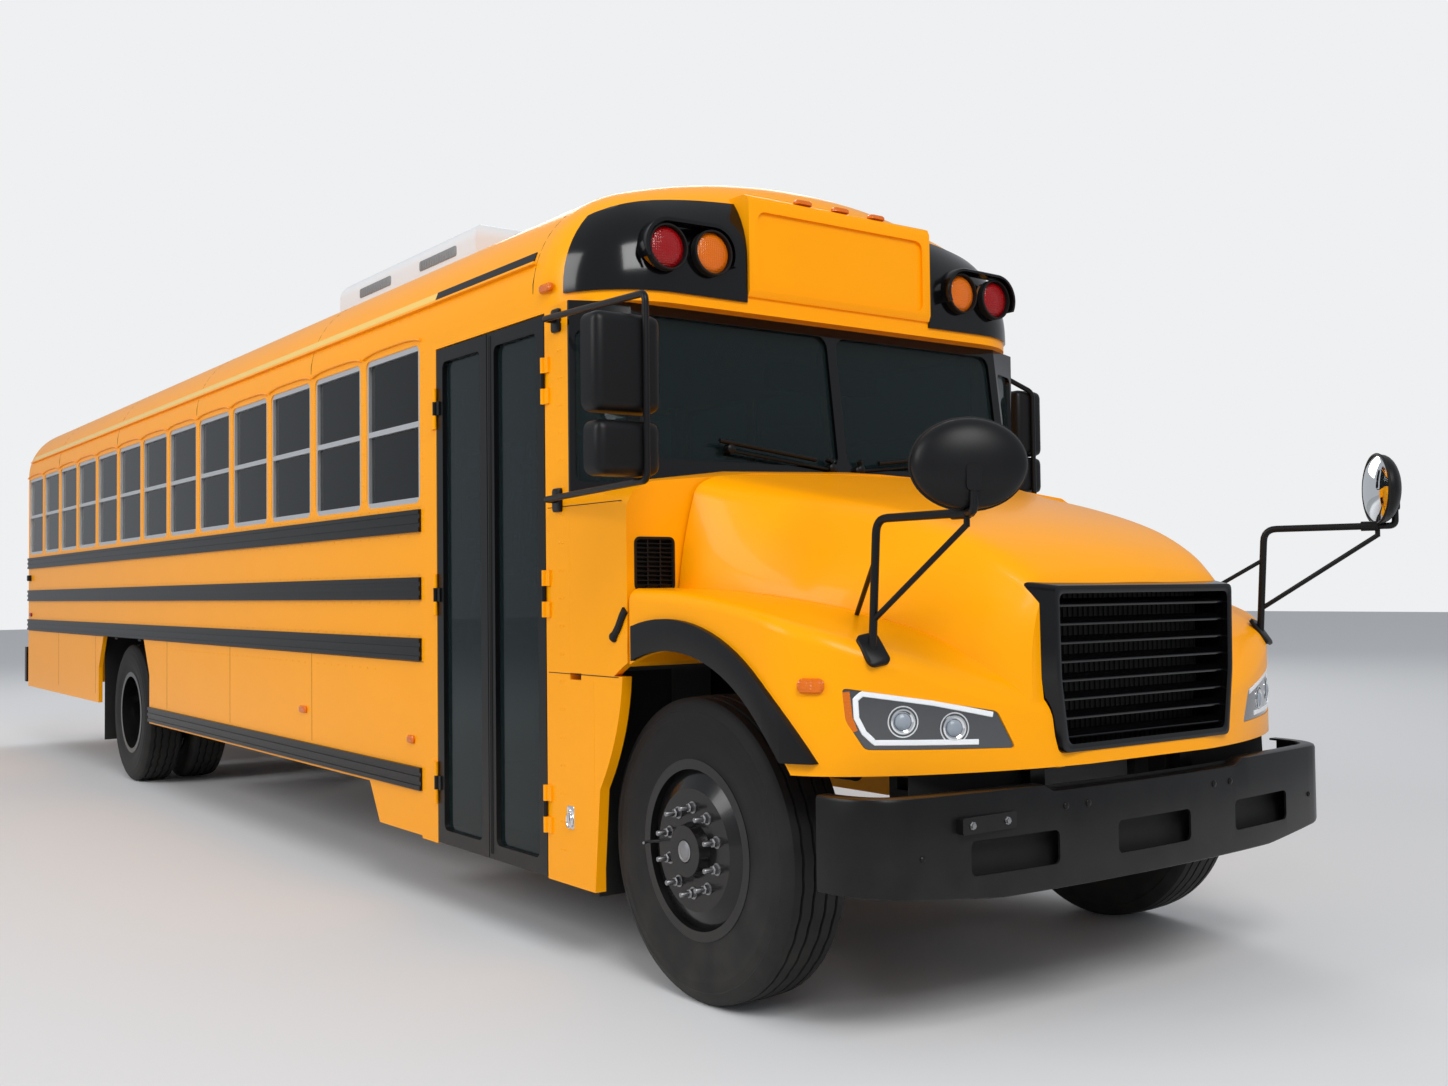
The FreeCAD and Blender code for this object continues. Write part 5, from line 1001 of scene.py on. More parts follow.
def make_driver_seat():
    """Sprung seat: padded cushion, back and headrest over a bellows pedestal."""
    low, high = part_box("driver_seat")
    middle = (low + high) / 2
    wide, deep = high.x - low.x, high.y - low.y
    seat_top = low.z + 0.50
    shell = bmesh.new()
    bellows = [(0.0, 0.0), (0.0, 0.17), (0.05, 0.17)]
    for index in range(6):
        bellows += [(0.06 + 0.045 * index, 0.150), (0.082 + 0.045 * index, 0.168)]
    bellows += [(0.36, 0.15), (0.36, 0.0)]
    foot = Vector((middle.x, middle.y, low.z))
    lathe(shell, bellows, foot, UP, 32)
    plate(shell, rounded(foot + UP * 0.35, RIGHT, BACK, 0.40, 0.40, 0.04), UP, 0.03, 0.01)
    add_piece("DriverPedestal", shell, black_plastic, "root")
    pads = (("DriverCushion", (wide, deep, 0.14), middle.y, seat_top - 0.05, 0),
            ("DriverBack", (wide - 0.02, 0.60, 0.12), high.y - 0.075, seat_top + 0.30, 84),
            ("DriverHeadrest", (0.27, 0.19, 0.10), high.y - 0.065, high.z - 0.10, 86))
    for name, size, along, up, lean in pads:
        pad = made_pad(size, 0.012, 0.045, 0.008)
        shell = bmesh.new()
        turn = Matrix.Translation((middle.x, along, up)) @ Matrix.Rotation(math.radians(lean), 4, "X")
        copy_into(shell, pad, turn)
        pad.free()
        made = add_piece(name, shell, fabric, "root", 80)
        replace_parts(made, "driver_seat")
    shell = bmesh.new()
    for across in (-0.06, 0.06):
        post = [Vector((middle.x + across, high.y - 0.065, up)) for up in (seat_top + 0.55, high.z - 0.16)]
        sweep(shell, post, BACK, round_section(0.007, 10))
    add_piece("HeadrestPosts", shell, bright_steel, "root")


def make_floor_mats():
    """Ribbed matting down the aisle."""
    shell = bmesh.new()
    for index in range(12):
        across = -0.165 + 0.03 * index
        sweep(shell, [spot(across, 2.2, 1.130), spot(across, 10.8, 1.130)], UP, bar(0.012, 0.003, 0.001))
    add_piece("AisleRibs", shell, floor_rubber, "root")


def make_grille_core():
    """Dark plate with upright fins that closes the grille behind its louvres."""
    shell = bmesh.new()
    outline = ((-0.500, 1.385), (0.500, 1.385), (0.496, 1.100), (0.438, 0.880), (-0.438, 0.880),
               (-0.496, 1.100))
    plate(shell, [spot(x, -0.853, z) for x, z in outline], BACK, 0.004, 0.001, 0.001)
    for index in range(34):
        across = -0.429 + 0.026 * index
        fin = [spot(across, -0.854, 0.885), spot(across, -0.854, 1.38)]
        sweep(shell, fin, -BACK, bar(0.003, 0.006, 0.001))
    add_piece("GrilleCore", shell, rubber, "hood")


def carve(shell, other, operation="DIFFERENCE"):
    """Cuts the second closed shell out of the first, or joins or intersects the two."""
    held = []
    for part in (shell, other):
        bmesh.ops.recalc_face_normals(part, faces=part.faces)
        mesh = bpy.data.meshes.new("Carving")
        part.to_mesh(mesh)
        part.free()
        held.append(bpy.data.objects.new("Carving", mesh))
        bpy.context.scene.collection.objects.link(held[-1])
    modifier = held[0].modifiers.new("Carve", "BOOLEAN")
    modifier.object = held[1]
    modifier.operation = operation
    modifier.solver = "EXACT"
    graph = bpy.context.evaluated_depsgraph_get()
    graph.update()
    made = bmesh.new()
    made.from_mesh(held[0].evaluated_get(graph).data)
    for item in held:
        mesh = item.data
        bpy.data.objects.remove(item)
        bpy.data.meshes.remove(mesh)
    return made


def loft(rings):
    """A closed skin through rings of as many points each, flat at both ends."""
    shell = bmesh.new()
    cover(shell, [[shell.verts.new(point) for point in ring] for ring in rings])
    return shell


def prism(corners, reach):
    return loft([corners, [corner + reach for corner in corners]])


def block(low, high):
    """A closed box between two corners."""
    outline = ((low.x, low.z), (high.x, low.z), (high.x, high.z), (low.x, high.z))
    return prism([Vector((x, low.y, z)) for x, z in outline], Vector((0, high.y - low.y, 0)))


def softened(shell, width, steps=3, least=40):
    """Rounds every edge that turns by more than the least angle."""
    sharp = [edge for edge in shell.edges
             if edge.is_manifold and edge.calc_face_angle(0) > math.radians(least)]
    bmesh.ops.bevel(shell, geom=sharp, offset=width, segments=steps, profile=0.5, affect="EDGES",
                    clamp_overlap=True)
    return shell


def join(target, part):
    """Adds one shell's faces to another."""
    copy_into(target, part, Matrix())
    part.free()


def bezier(poles, count):
    """Points along a Bezier curve, both ends among them."""
    made = []
    for step in range(count + 1):
        row = list(poles)
        while len(row) > 1:
            row = [a.lerp(b, step / count) for a, b in zip(row, row[1:])]
        made.append(row[0])
    return made


def smoothed(rows, steps):
    """Rows of numbers joined by smooth curves over their first column."""
    slopes = []
    for index in range(len(rows)):
        before, after = rows[max(index - 1, 0)], rows[min(index + 1, len(rows) - 1)]
        slopes.append([(b - a) / (after[0] - before[0]) for a, b in zip(before, after)])
    made = []
    for index, (start, end) in enumerate(zip(rows, rows[1:])):
        span = end[0] - start[0]
        for step in range(steps):
            t = step / steps
            shares = (2 * t ** 3 - 3 * t ** 2 + 1, (t ** 3 - 2 * t ** 2 + t) * span, 3 * t ** 2 - 2 * t ** 3,
                      (t ** 3 - t ** 2) * span)
            made.append([sum(w * v for w, v in zip(shares, values))
                         for values in zip(start, slopes[index], end, slopes[index + 1])])
    return made + [list(rows[-1])]


HOOD_STATIONS = [
    # back from the axle, top, crest across, crest up, waist across, waist up
    (0.285, 1.838, 0.925, 1.792, 1.005, 1.400), (0.050, 1.780, 0.818, 1.742, 0.972, 1.390),
    (-0.300, 1.704, 0.706, 1.668, 0.892, 1.352), (-0.600, 1.620, 0.614, 1.585, 0.775, 1.285),
    (-0.790, 1.536, 0.548, 1.498, 0.668, 1.215), (-0.900, 1.456, 0.502, 1.415, 0.578, 1.180),
    (-0.945, 1.400, 0.482, 1.362, 0.528, 1.150),
]
HOOD_LOW = 0.825


def mirrored(points):
    return [Vector((-point.x, point.y, point.z)) for point in reversed(points)]


def hood_middle(inset):
    """The raised middle of the hood; the inner one starts behind its rear edge and ends short of its nose."""
    rings = []
    rows = smoothed(HOOD_STATIONS, 6)
    low = HOOD_LOW - (0.01 if inset else 0)
    for index, (back, top, crest_x, crest_z, waist_x, waist_z) in enumerate(rows):
        if inset:
            back += 0.005 if index == 0 else 0
            back += inset * max(0.0, (index - len(rows) + 7) / 6)
        crest, waist = spot(crest_x - inset, back, crest_z - inset), spot(waist_x - inset, back, waist_z)
        shoulder = crest + (waist - crest) * 0.16
        belly = (waist + shoulder) * 0.5 + Vector((0.014, 0, 0.014))
        brow = spot((crest_x - inset) * 0.88, back, crest_z - inset + (top - crest_z) * 0.42)
        rise = top - inset - brow.z
        radius = (brow.x ** 2 + rise ** 2) / (2 * rise)
        half = [spot(waist_x - inset, back, low)] + bezier([waist, belly, shoulder], 5)[:-1]
        half += bezier([shoulder, crest, brow], 7)[:-1]
        for step in range(8):
            across = brow.x * (1 - step / 8)
            half.append(spot(across, back, top - inset - radius + math.sqrt(radius ** 2 - across ** 2)))
        rings.append(half + [spot(0, back, top - inset)] + mirrored(half))
    return loft(rings)


# Places fore and aft with their heights, and the plan of the nose as (across, back)
FENDER_TOP = [(0.285, 1.398), (0.0, 1.384), (-0.400, 1.330), (-0.640, 1.262), (-0.760, 1.204),
              (-0.860, 1.128), (-0.960, 1.030)]
FENDER_NOSE = [Vector((-0.960, 1.030)), Vector((-0.985, 0.985)), Vector((-0.985, 0.900))]
FENDER_RIDGE = smoothed(FENDER_TOP, 6) + [list(point) for point in bezier(FENDER_NOSE, 8)[1:]]
FENDER_PLAN = [Vector((1.219, -0.450)), Vector((1.219, -0.720)), Vector((0.960, -0.830)),
               Vector((0.640, -0.960)), Vector((0.300, -0.985))]


def fender_height(back):
    """Height of the fenders' ridge at a place fore and aft."""
    for (y0, z0), (y1, z1) in zip(FENDER_RIDGE, FENDER_RIDGE[1:]):
        if y1 <= back <= y0 and y0 > y1:
            return z0 + (z1 - z0) * (back - y0) / (y1 - y0)
    return FENDER_RIDGE[0][1] if back > 0 else FENDER_RIDGE[-1][1]


def fender_block(inset, soft=0.045):
    """Both fenders as one closed block, with a softened shoulder all round."""
    rear, low = (0.290, 0.699) if inset > 0 else (0.285, 0.704)
    poles = [point + Vector((-inset if index < 3 else 0, inset if index else 0))
             for index, point in enumerate(FENDER_PLAN)]
    side = [Vector((poles[0].x, rear + (poles[0].y - rear) * step / 22)) for step in range(22)]
    outline = side + bezier(poles, 30)
    columns = []
    for index, point in enumerate(outline):
        before, after = outline[max(index - 1, 0)], outline[min(index + 1, len(outline) - 1)]
        along = (after - before).normalized()
        if index == 0:
            along = Vector((0, -1))
        if index == len(outline) - 1:
            along = Vector((-1, 0))
        inward = Vector((along.y, -along.x))
        column = [spot(point.x, point.y, low)]
        for step in range(9):
            turn = math.pi / 2 * step / 8
            place = point + inward * soft * (1 - math.cos(turn))
            up = fender_height(place.y - inset) - inset - soft * (1 - math.sin(turn))
            column.append(spot(place.x, place.y, up))
        columns.append(column)
    shell = bmesh.new()
    right = [[shell.verts.new(point) for point in column] for column in columns]
    left = [[shell.verts.new(Vector((-point.x, point.y, point.z))) for point in column] for column in columns]
    for k in range(len(right[0]) - 1):
        for half in (right, left):
            for one, two in zip(half, half[1:]):
                shell.faces.new((one[k], one[k + 1], two[k + 1], two[k]))
        shell.faces.new((right[-1][k], right[-1][k + 1], left[-1][k + 1], left[-1][k]))
    for i in range(len(right) - 1):
        for k in (0, -1):
            shell.faces.new((right[i][k], right[i + 1][k], left[i + 1][k], left[i][k]))
    shell.faces.new(right[0] + left[0][::-1])
    return shell


def arch_drum(radius, half=1.5, shift=0.0):
    """A drum across the bus on the front wheel opening's own centre."""
    ring = oval(spot(0, 0.020 + shift, HUB), BACK, UP, radius, radius, 96)
    return prism([point - RIGHT * half for point in ring], RIGHT * 2 * half)


def cornered(points, radius, steps=4):
    """A flat outline of (across, up) points with each corner rounded."""
    made = []
    count = len(points)
    for index in range(count):
        corner = Vector(points[index])
        legs = [Vector(points[index - 1]) - corner, Vector(points[(index + 1) % count]) - corner]
        start, end = [corner + leg.normalized() * min(radius, leg.length * 0.45) for leg in legs]
        made += bezier([start, corner, end], steps)
    return made


HEADLAMP_FACE = [(0.596, 0.893), (1.047, 0.904), (1.092, 0.991), (1.099, 1.090), (0.657, 1.008)]
GRILLE_FRONT = [(0.467, 1.391), (0.462, 1.100), (0.433, 0.866)]
GRILLE_BACK = [(0.532, 1.410), (0.528, 1.100), (0.462, 0.862)]


def headlamp_pocket(side, grow=0.0):
    """The slanted opening that a headlamp fills."""
    centre = sum((Vector(point) for point in HEADLAMP_FACE), Vector((0, 0))) / len(HEADLAMP_FACE)
    corners = [Vector(point) + (Vector(point) - centre).normalized() * grow for point in HEADLAMP_FACE]
    return prism([spot(side * x, -1.0, z) for x, z in cornered(corners, 0.014)], BACK * 0.5)


def grille_ring(points, back, inset=0.0, radius=0.022):
    """The grille's outline at one depth, with rounded corners."""
    (top_x, top_z), (mid_x, mid_z), (low_x, low_z) = points
    half = [(top_x - inset, top_z - inset), (mid_x - inset, mid_z), (low_x - inset, low_z + inset)]
    return [spot(x, back, z) for x, z in cornered(half + [(-x, z) for x, z in reversed(half)], radius)]


def make_hood():
    """The one-piece tilting hood, with its hinge lugs."""
    outer = carve(hood_middle(0), fender_block(0), "UNION")
    skin = 0.024
    for tool in (hood_middle(skin), fender_block(skin), arch_drum(0.670),
                 block(spot(-1.5, -2, 0), spot(1.5, 1, HOOD_LOW)),
                 loft([grille_ring(GRILLE_FRONT, -1.05), grille_ring(GRILLE_FRONT, -0.990),
                       grille_ring(GRILLE_BACK, -0.850)]),
                 headlamp_pocket(-1), headlamp_pocket(1)):
        outer = carve(outer, tool)
    lug = [(-0.014, 0.0105), (-0.014, 0.018), (0.014, 0.018), (0.014, 0.0105)]
    for side, _ in SIDES:
        at = side * 0.400
        lathe(outer, lug, spot(at, -0.940, 0.835), RIGHT, 32)
        join(outer, block(spot(at - 0.013, -0.965, 0.826), spot(at + 0.013, -0.953, 0.850)))
    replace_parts(add_piece("HoodShell", outer, paint, "hood", 32), "hood")


def make_headlamps():
    """Headlamp covers, flush in the slanted pockets of the fenders."""
    for side, label in SIDES:
        shell = carve(headlamp_pocket(side, -0.003), fender_block(0.003), "INTERSECT")
        shell = carve(shell, fender_block(0.070))
        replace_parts(add_piece(f"HeadlampCover_{label}", shell, lamp_clear, "hood", 30),
                    "headlamps")


def make_grille():
    """Black surround that stands out of the nose, with slanted louvres in it."""
    border = 0.026
    rings = [grille_ring(GRILLE_BACK, -0.852), grille_ring(GRILLE_FRONT, -0.984)]
    rings += [grille_ring(GRILLE_FRONT, -0.989, 0.002), grille_ring(GRILLE_FRONT, -0.990, 0.006)]
    rings += [grille_ring(GRILLE_FRONT, -0.990, border - 0.005), grille_ring(GRILLE_FRONT, -0.987, border),
              grille_ring(GRILLE_FRONT, -0.852, border)]
    shell = bmesh.new()
    cover(shell, [[shell.verts.new(point) for point in ring] for ring in rings], True)
    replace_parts(add_piece("GrilleSurround", shell, gloss_black, "hood", 40), "grille")
    shell = bmesh.new()
    low, high = GRILLE_FRONT[2][1] + border, GRILLE_FRONT[0][1] - border
    count = 8
    for index in range(count):
        up = low + (high - low) * (index + 0.5) / count
        share = (up - GRILLE_FRONT[2][1]) / (GRILLE_FRONT[1][1] - GRILLE_FRONT[2][1])
        half = 0.433 + 0.029 * min(share, 1.0) - border + 0.001
        slant = Matrix.Rotation(math.radians(28), 3, "X")
        section = [slant @ Vector((0, y, z)) for y, z in
                   ((-0.022, -0.0025), (-0.020, -0.0045), (0.022, -0.0035), (0.022, 0.0035), (-0.020, 0.0045),
                    (-0.022, 0.0025))]
        join(shell, prism([spot(-half, -0.954, up) + point for point in section], RIGHT * 2 * half))
    add_piece("GrilleLouvres", shell, gloss_black, "hood", 40)


def make_flares():
    """Black flares round the front wheel openings, bowed with the fenders."""
    for side, label in SIDES:
        ring = carve(arch_drum(0.778, 1.5, 0.024), arch_drum(0.6705))
        reach = block(spot(0.95 if side > 0 else -1.6, -0.72, 0.862),
                      spot(1.6 if side > 0 else -0.95, 0.25, 1.5))
        ring = carve(ring, reach, "INTERSECT")
        ring = carve(ring, fender_block(-0.020, 0.050), "INTERSECT")
        ring = carve(ring, fender_block(0.001))
        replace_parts(add_piece(f"FlareBand_{label}", softened(ring, 0.003, 2), black_plastic, "hood",
                              40), "fender_flares")


def make_cowl():
    """Scuttle and bulkhead behind the hood, with an air inlet each side, and the panels below them."""
    near = [(1.219, 1.690), (1.189, 1.745), (1.109, 1.782), (0.640, 1.828)]
    far = [(1.219, 1.762), (1.189, 1.776), (1.089, 1.794), (0.640, 1.850)]

    def ring(back, tops, middle, low):
        half = [spot(tops[0][0], back, low)] + [spot(x, back, z) for x, z in tops]
        return half + [spot(0, back, middle)] + mirrored(half)

    shell = loft([ring(0.300, near, 1.848, 1.085), ring(0.505, far, 1.872, 1.085)])
    shell = carve(shell, block(spot(-1.189, 0.330, 1.0), spot(1.189, 0.52, 1.66)))
    rear = block(spot(-1.2188, 0.504, 1.085), spot(1.2188, 0.700, 1.762))
    rear = carve(rear, block(spot(-1.189, 0.49, 1.0), spot(1.189, 0.72, 1.733)))
    shell = carve(shell, rear, "UNION")
    shell = carve(shell, arch_drum(0.680))
    for side in (-1, 1):
        hole = [point + RIGHT * side * INLET_ACROSS
                for point in rounded(spot(0, 0.29, INLET_UP), RIGHT, UP, 0.160, 0.180, 0.016)]
        shell = carve(shell, prism(hole, BACK * 0.1))
    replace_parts(add_piece("ScuttleShell", shell, paint, "root", 35), "cowl")
    shell = bmesh.new()
    edge = [Vector((0.335, 1.0845)), Vector((0.350, 0.900)), Vector((0.430, 0.760)), Vector((0.493, 0.670))]
    for side in (-1, 1):
        x = side * 1.2186
        corners = [spot(x, y, z) for y, z in bezier(edge, 10)]
        corners += [spot(x, 0.531, 0.294), spot(x, 0.62, 0.294), spot(x, 0.62, 1.0845)]
        join(shell, prism(corners, RIGHT * -side * 0.040))
    add_piece("CowlSidePanels", shell, paint, "root", 35)


def bumper_plan():
    """Right half of the bumper's plan from the middle to its end, as (across, back) points."""
    flat, corner, front, half, end = 1.040, -0.930, -1.000, 1.195, -0.690
    rise = corner - front
    radius = (flat ** 2 + rise ** 2) / (2 * rise)
    made = []
    for step in range(24):
        across = flat * step / 24
        made.append(Vector((across, front + radius - math.sqrt(radius ** 2 - across ** 2))))
    poles = [Vector((flat, corner)), Vector((half - 0.010, corner + 0.030)), Vector((half, end))]
    return made + bezier(poles, 14)


def make_front_bumper():
    """Deep channel bumper with turned-in flanges, slots and brackets, and black backing and liner plates that
    paint the shade behind the bumper and before the wheels.
    """
    plan = bumper_plan()
    path = [Vector((-point.x, point.y)) for point in reversed(plan[1:])] + plan
    low, high, rise, step = 0.452, 0.757, 0.022, 0.482
    flange, thick, soft = 0.050, 0.008, 0.012
    rings = []
    for index, point in enumerate(path):
        before, after = path[max(index - 1, 0)], path[min(index + 1, len(path) - 1)]
        along = (after - before).normalized()
        inward = Vector((-along.y, along.x))
        out = abs(point.x)
        top = high + rise * min(max((out - step) / 0.04, 0.0), 1.0)
        foot = low + 0.034 * min(max((out - 0.70) / 0.38, 0.0), 1.15)
        section = [(flange, top), (soft, top), (soft * 0.3, top - soft * 0.3), (0.0, top - soft),
                   (0.0, foot + soft), (soft * 0.3, foot + soft * 0.3), (soft, foot), (flange, foot),
                   (flange, foot + thick), (soft, foot + thick), (thick, foot + soft), (thick, top - soft),
                   (soft, top - thick), (flange, top - thick)]
        rings.append([spot(point.x + inward.x * depth, point.y + inward.y * depth, up)
                      for depth, up in section])
    shell = loft(rings)
    for left, wide in ((-0.820, 0.360), (-0.190, 0.380), (0.460, 0.360)):
        outline = rounded(spot(left + wide / 2, -1.15, 0.5825), RIGHT, UP, wide, 0.105, 0.020)
        shell = carve(shell, prism(outline, BACK * 0.3))
    for side in (-1, 1):
        at = side * 0.390
        join(shell, softened(block(spot(at - 0.035, -0.978, 0.640), spot(at + 0.035, -0.790, 0.740)), 0.006))
        join(shell, softened(block(spot(at - 0.035, -0.840, 0.700), spot(at + 0.035, -0.790, 0.799)), 0.006))
    outline = rounded(spot(-0.760, -0.978, 0.685), RIGHT, UP, 0.230, 0.050, 0.008)
    join(shell, prism(outline, BACK * 0.030))
    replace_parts(add_piece("BumperChannel", shell, black_paint, "root", 35),
                "front_bumper")
    # Black plates behind the bumper's channel and before the front wheels: painted shade for the dark space
    # behind the bumper.
    shell = bmesh.new()
    inner = [spot(point.x * 0.97, point.y + 0.056, 0.0) for point in path if abs(point.x) < 1.16]
    for first, second in zip(inner, inner[1:]):
        corners = [first + UP * 0.505, second + UP * 0.505, second + UP * 0.765, first + UP * 0.765]
        join(shell, prism(corners, BACK * 0.004))
    liner = cornered(((0.330, 0.600), (0.930, 0.600), (0.910, 0.930), (0.330, 0.930)), 0.030)
    for side, _ in SIDES:
        join(shell, prism([spot(side * x, -0.800, z) for x, z in liner], BACK * 0.006))
    add_piece("BumperShadePlates", shell, rubber, "root", 35)


def bent(points, radius, steps=6):
    """A path through points with each inner corner rounded."""
    made = [points[0]]
    for before, corner, after in zip(points, points[1:], points[2:]):
        legs = [before - corner, after - corner]
        start, end = [corner + leg.normalized() * min(radius, leg.length * 0.45) for leg in legs]
        made += bezier([start, corner, end], steps)
    return made + [points[-1]]


def tube(shell, points, radius, bend=0.04, count=12):
    """A round tube along a bent path; its section never lines up with the path."""
    path = bent(points, bend)
    along = (path[1] - path[0]).normalized()
    carried = min((RIGHT, BACK, UP), key=lambda axis: abs(axis.dot(along)))
    outs = []
    for index in range(len(path)):
        ahead = (path[min(index + 1, len(path) - 1)] - path[max(index - 1, 0)]).normalized()
        carried = (carried - ahead * carried.dot(ahead)).normalized()
        outs.append(carried.copy())
    sweep(shell, path, outs, round_section(radius, count))


def dish(shell, centre, facing, half_width, half_height, depth):
    """An oval mirror's domed back with a thin rim; facing is the way its glass looks."""
    across = facing.cross(UP).normalized()
    rings = []
    turns = [math.pi / 2 * step / 10 for step in range(1, 10)]
    for share, back in [(1.0, 0.014), (1.0, 0.0)] + [(math.cos(t), -math.sin(t) * depth) for t in turns]:
        ring = oval(centre, across, UP, half_width * share, half_height * share, 48)
        rings.append([point + facing * back for point in ring])
    join(shell, loft(rings))


def make_crossview_frames():
    """Oval mirrors ahead of the fenders, on bent arms with a brace and a foot plate."""
    for side, label, spread, facing in CROSSVIEWS:
        shell = bmesh.new()
        x, high = side * CROSSVIEW_ACROSS, 1.597
        end = spot(x + spread, -1.165, high)
        tube(shell, [spot(x, -0.745, 1.186), spot(x, -0.772, high), end], 0.013, 0.046)
        centre = end + Vector((0, 0.008, CROSSVIEW_UP - high))
        tip = centre - facing * 0.050
        knee, top = [Vector((tip.x, tip.y, up)) for up in (high, high + 0.095)]
        tube(shell, [end + Vector((0, 0.026, 0)), knee, top], 0.012, 0.022)
        dish(shell, centre, facing, 0.165, 0.128, 0.058)
        across = facing.cross(UP).normalized()
        boss = rounded(centre - facing * 0.050 - UP * 0.042, across, UP, 0.044, 0.072, 0.012)
        join(shell, prism(boss, -facing * 0.012))
        tube(shell, [spot(x, -0.750, 1.290), end + Vector((0, 0.022, -0.034))], 0.009)
        along = (end - spot(x, -0.772, high)).normalized()
        lathe(shell, [(0, 0.010), (0, 0.018), (0.060, 0.018), (0.060, 0.010)], end - along * 0.075, along, 20)
        stud = [(0, 0.0), (0, 0.009), (0.044, 0.009), (0.044, 0.0)]
        lathe(shell, stud, end + Vector((0, 0.022, -0.040)), UP, 16)
        tube(shell, [spot(x, -0.766, 1.480), spot(x * 0.84, -0.490, 1.292)], 0.008)
        made = add_piece(f"CrossviewFrame_{label}", shell, black_plastic, "hood", 40)
        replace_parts(made, "crossview_mirrors")
    shell = bmesh.new()
    for side, _ in SIDES:
        place, normal = drop_on(HOOD_SURFACE, spot(side * CROSSVIEW_ACROSS, -0.748, 1.9), -UP)
        across = RIGHT - normal * normal.dot(RIGHT)
        outline = rounded(place - normal * 0.004, across.normalized(), normal.cross(across).normalized(),
                          0.076, 0.116, 0.022)
        plate(shell, outline, normal, 0.012, 0.004)
    add_piece("CrossviewFeet", shell, black_plastic, "hood")


def make_side_mirror_frames():
    """Rear-view mirrors: on a long bracket by the entrance, on a shorter one by the driver."""
    mounts = (
        # side, name, out, back, seat, upper, lower, inner edge, head width, head heights
        (-1, "right", 1.405, -0.120, 0.776, 2.424, 1.737, 1.333, 0.257, (1.965, 1.760)),
        (1, "left", 1.430, 0.742, 0.790, 2.412, 1.800, 1.335, 0.180, (2.030, 1.846)),
    )
    for side, label, out, back, seat, high, low, inner, wide, bases in mounts:
        shell = bmesh.new()
        skin, far = side * HALF, side * out
        step = Vector((side * 0.060, 0, 0))
        top, bottom = spot(skin, seat, high), spot(skin, seat, low)
        post = [spot(far, back, high - 0.072), spot(far, back, low + 0.008)]
        tube(shell, [top, top + step, *post, bottom + step, bottom], 0.012, 0.030)
        left = -inner - wide if side < 0 else inner
        for base, tall, trim in ((bases[0], 0.321, 0.0), (bases[1], 0.178, 0.008)):
            head = block(spot(left + trim, back + 0.008, base),
                         spot(left + wide - trim / 2, back + 0.100, base + tall))
            front = [edge for edge in head.edges if all(end.co.y < AXLE + back + 0.02 for end in edge.verts)]
            sides = [edge for edge in head.edges if abs(edge.verts[0].co.y - edge.verts[1].co.y) > 0.02]
            bmesh.ops.bevel(head, geom=front + sides, offset=0.034, segments=5, profile=0.5, affect="EDGES",
                            clamp_overlap=True)
            join(shell, head)
        for place in (top, bottom):
            pad = rounded(place, BACK, UP, 0.060, 0.090, 0.010)
            plate(shell, pad, Vector((side, 0, 0)), 0.014, 0.004)
        made = add_piece(f"SideMirrorFrame_{label}", shell, black_plastic, "root", 40)
        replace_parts(made, "side_mirrors")


def roof_section(inset, low):
    """The body's cross-section from one lower corner over the crown to the other, set in from its skin."""
    centre = HALF - SHOULDER
    gap = CROWN - SHOULDER
    crown_up = SHOULDER_UP - math.sqrt(gap ** 2 - centre ** 2)
    meet = math.asin(centre / gap)
    half = [(HALF - inset, low)]
    for step in range(14):
        turn = (math.pi / 2 - meet) * step / 14
        radius = SHOULDER - inset
        half.append((centre + radius * math.cos(turn), SHOULDER_UP + radius * math.sin(turn)))
    for step in range(12):
        turn = meet * (1 - step / 12)
        half.append(((CROWN - inset) * math.sin(turn), crown_up + (CROWN - inset) * math.cos(turn)))
    return half + [(0.0, crown_up + CROWN - inset)] + [(-x, z) for x, z in reversed(half)]


def cap_solid(inset, low):
    """The roof's rounded front end as one closed solid, set in from its skin."""
    corner = CAP_CORNER - inset
    rings = []
    for step in range(15):
        turn = math.pi / 2 * step / 14
        back = CAP_FRONT + inset + corner * (1 - math.cos(turn))
        section = roof_section(inset + corner * (1 - math.sin(turn)), low)
        rings.append([spot(x, back, z) for x, z in section])
    if inset > 0:
        rings.append([point + BACK * 0.005 for point in rings[-1]])
    return loft(rings)


def make_front_cap():
    """Rounded front end of the roof with the raised, blank sign housing."""
    shell = carve(cap_solid(0, 2.490), cap_solid(0.045, 2.530))
    shell = carve(shell, block(spot(-1.174, 0.760, 2.45), spot(1.174, 0.95, 2.54)))
    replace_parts(add_piece("CapShell", shell, paint, "root", 30), "front_cap")
    front, half, low, high, soft = 0.500, 0.500, 2.545, 2.970, 0.034
    side = [(0.720, low), (front + soft, low), (front + soft * 0.3, low + soft * 0.3),
            (front, low + soft), (front, high - soft), (front + soft * 0.3, high - soft * 0.3),
            (front + soft, high), (0.720, high)]
    housing = prism([spot(-half, y, z) for y, z in side], RIGHT * 2 * half)
    border = 0.045
    face = rounded(spot(0, front - 0.01, (low + high) / 2 - 0.012), RIGHT, UP, 2 * (half - border),
                   high - low - 2 * border - 0.024, 0.038)
    housing = carve(housing, prism(face, BACK * 0.023))
    housing = carve(housing, cap_solid(0.006, 2.40))
    add_piece("SignHousing", housing, paint, "root", 30)


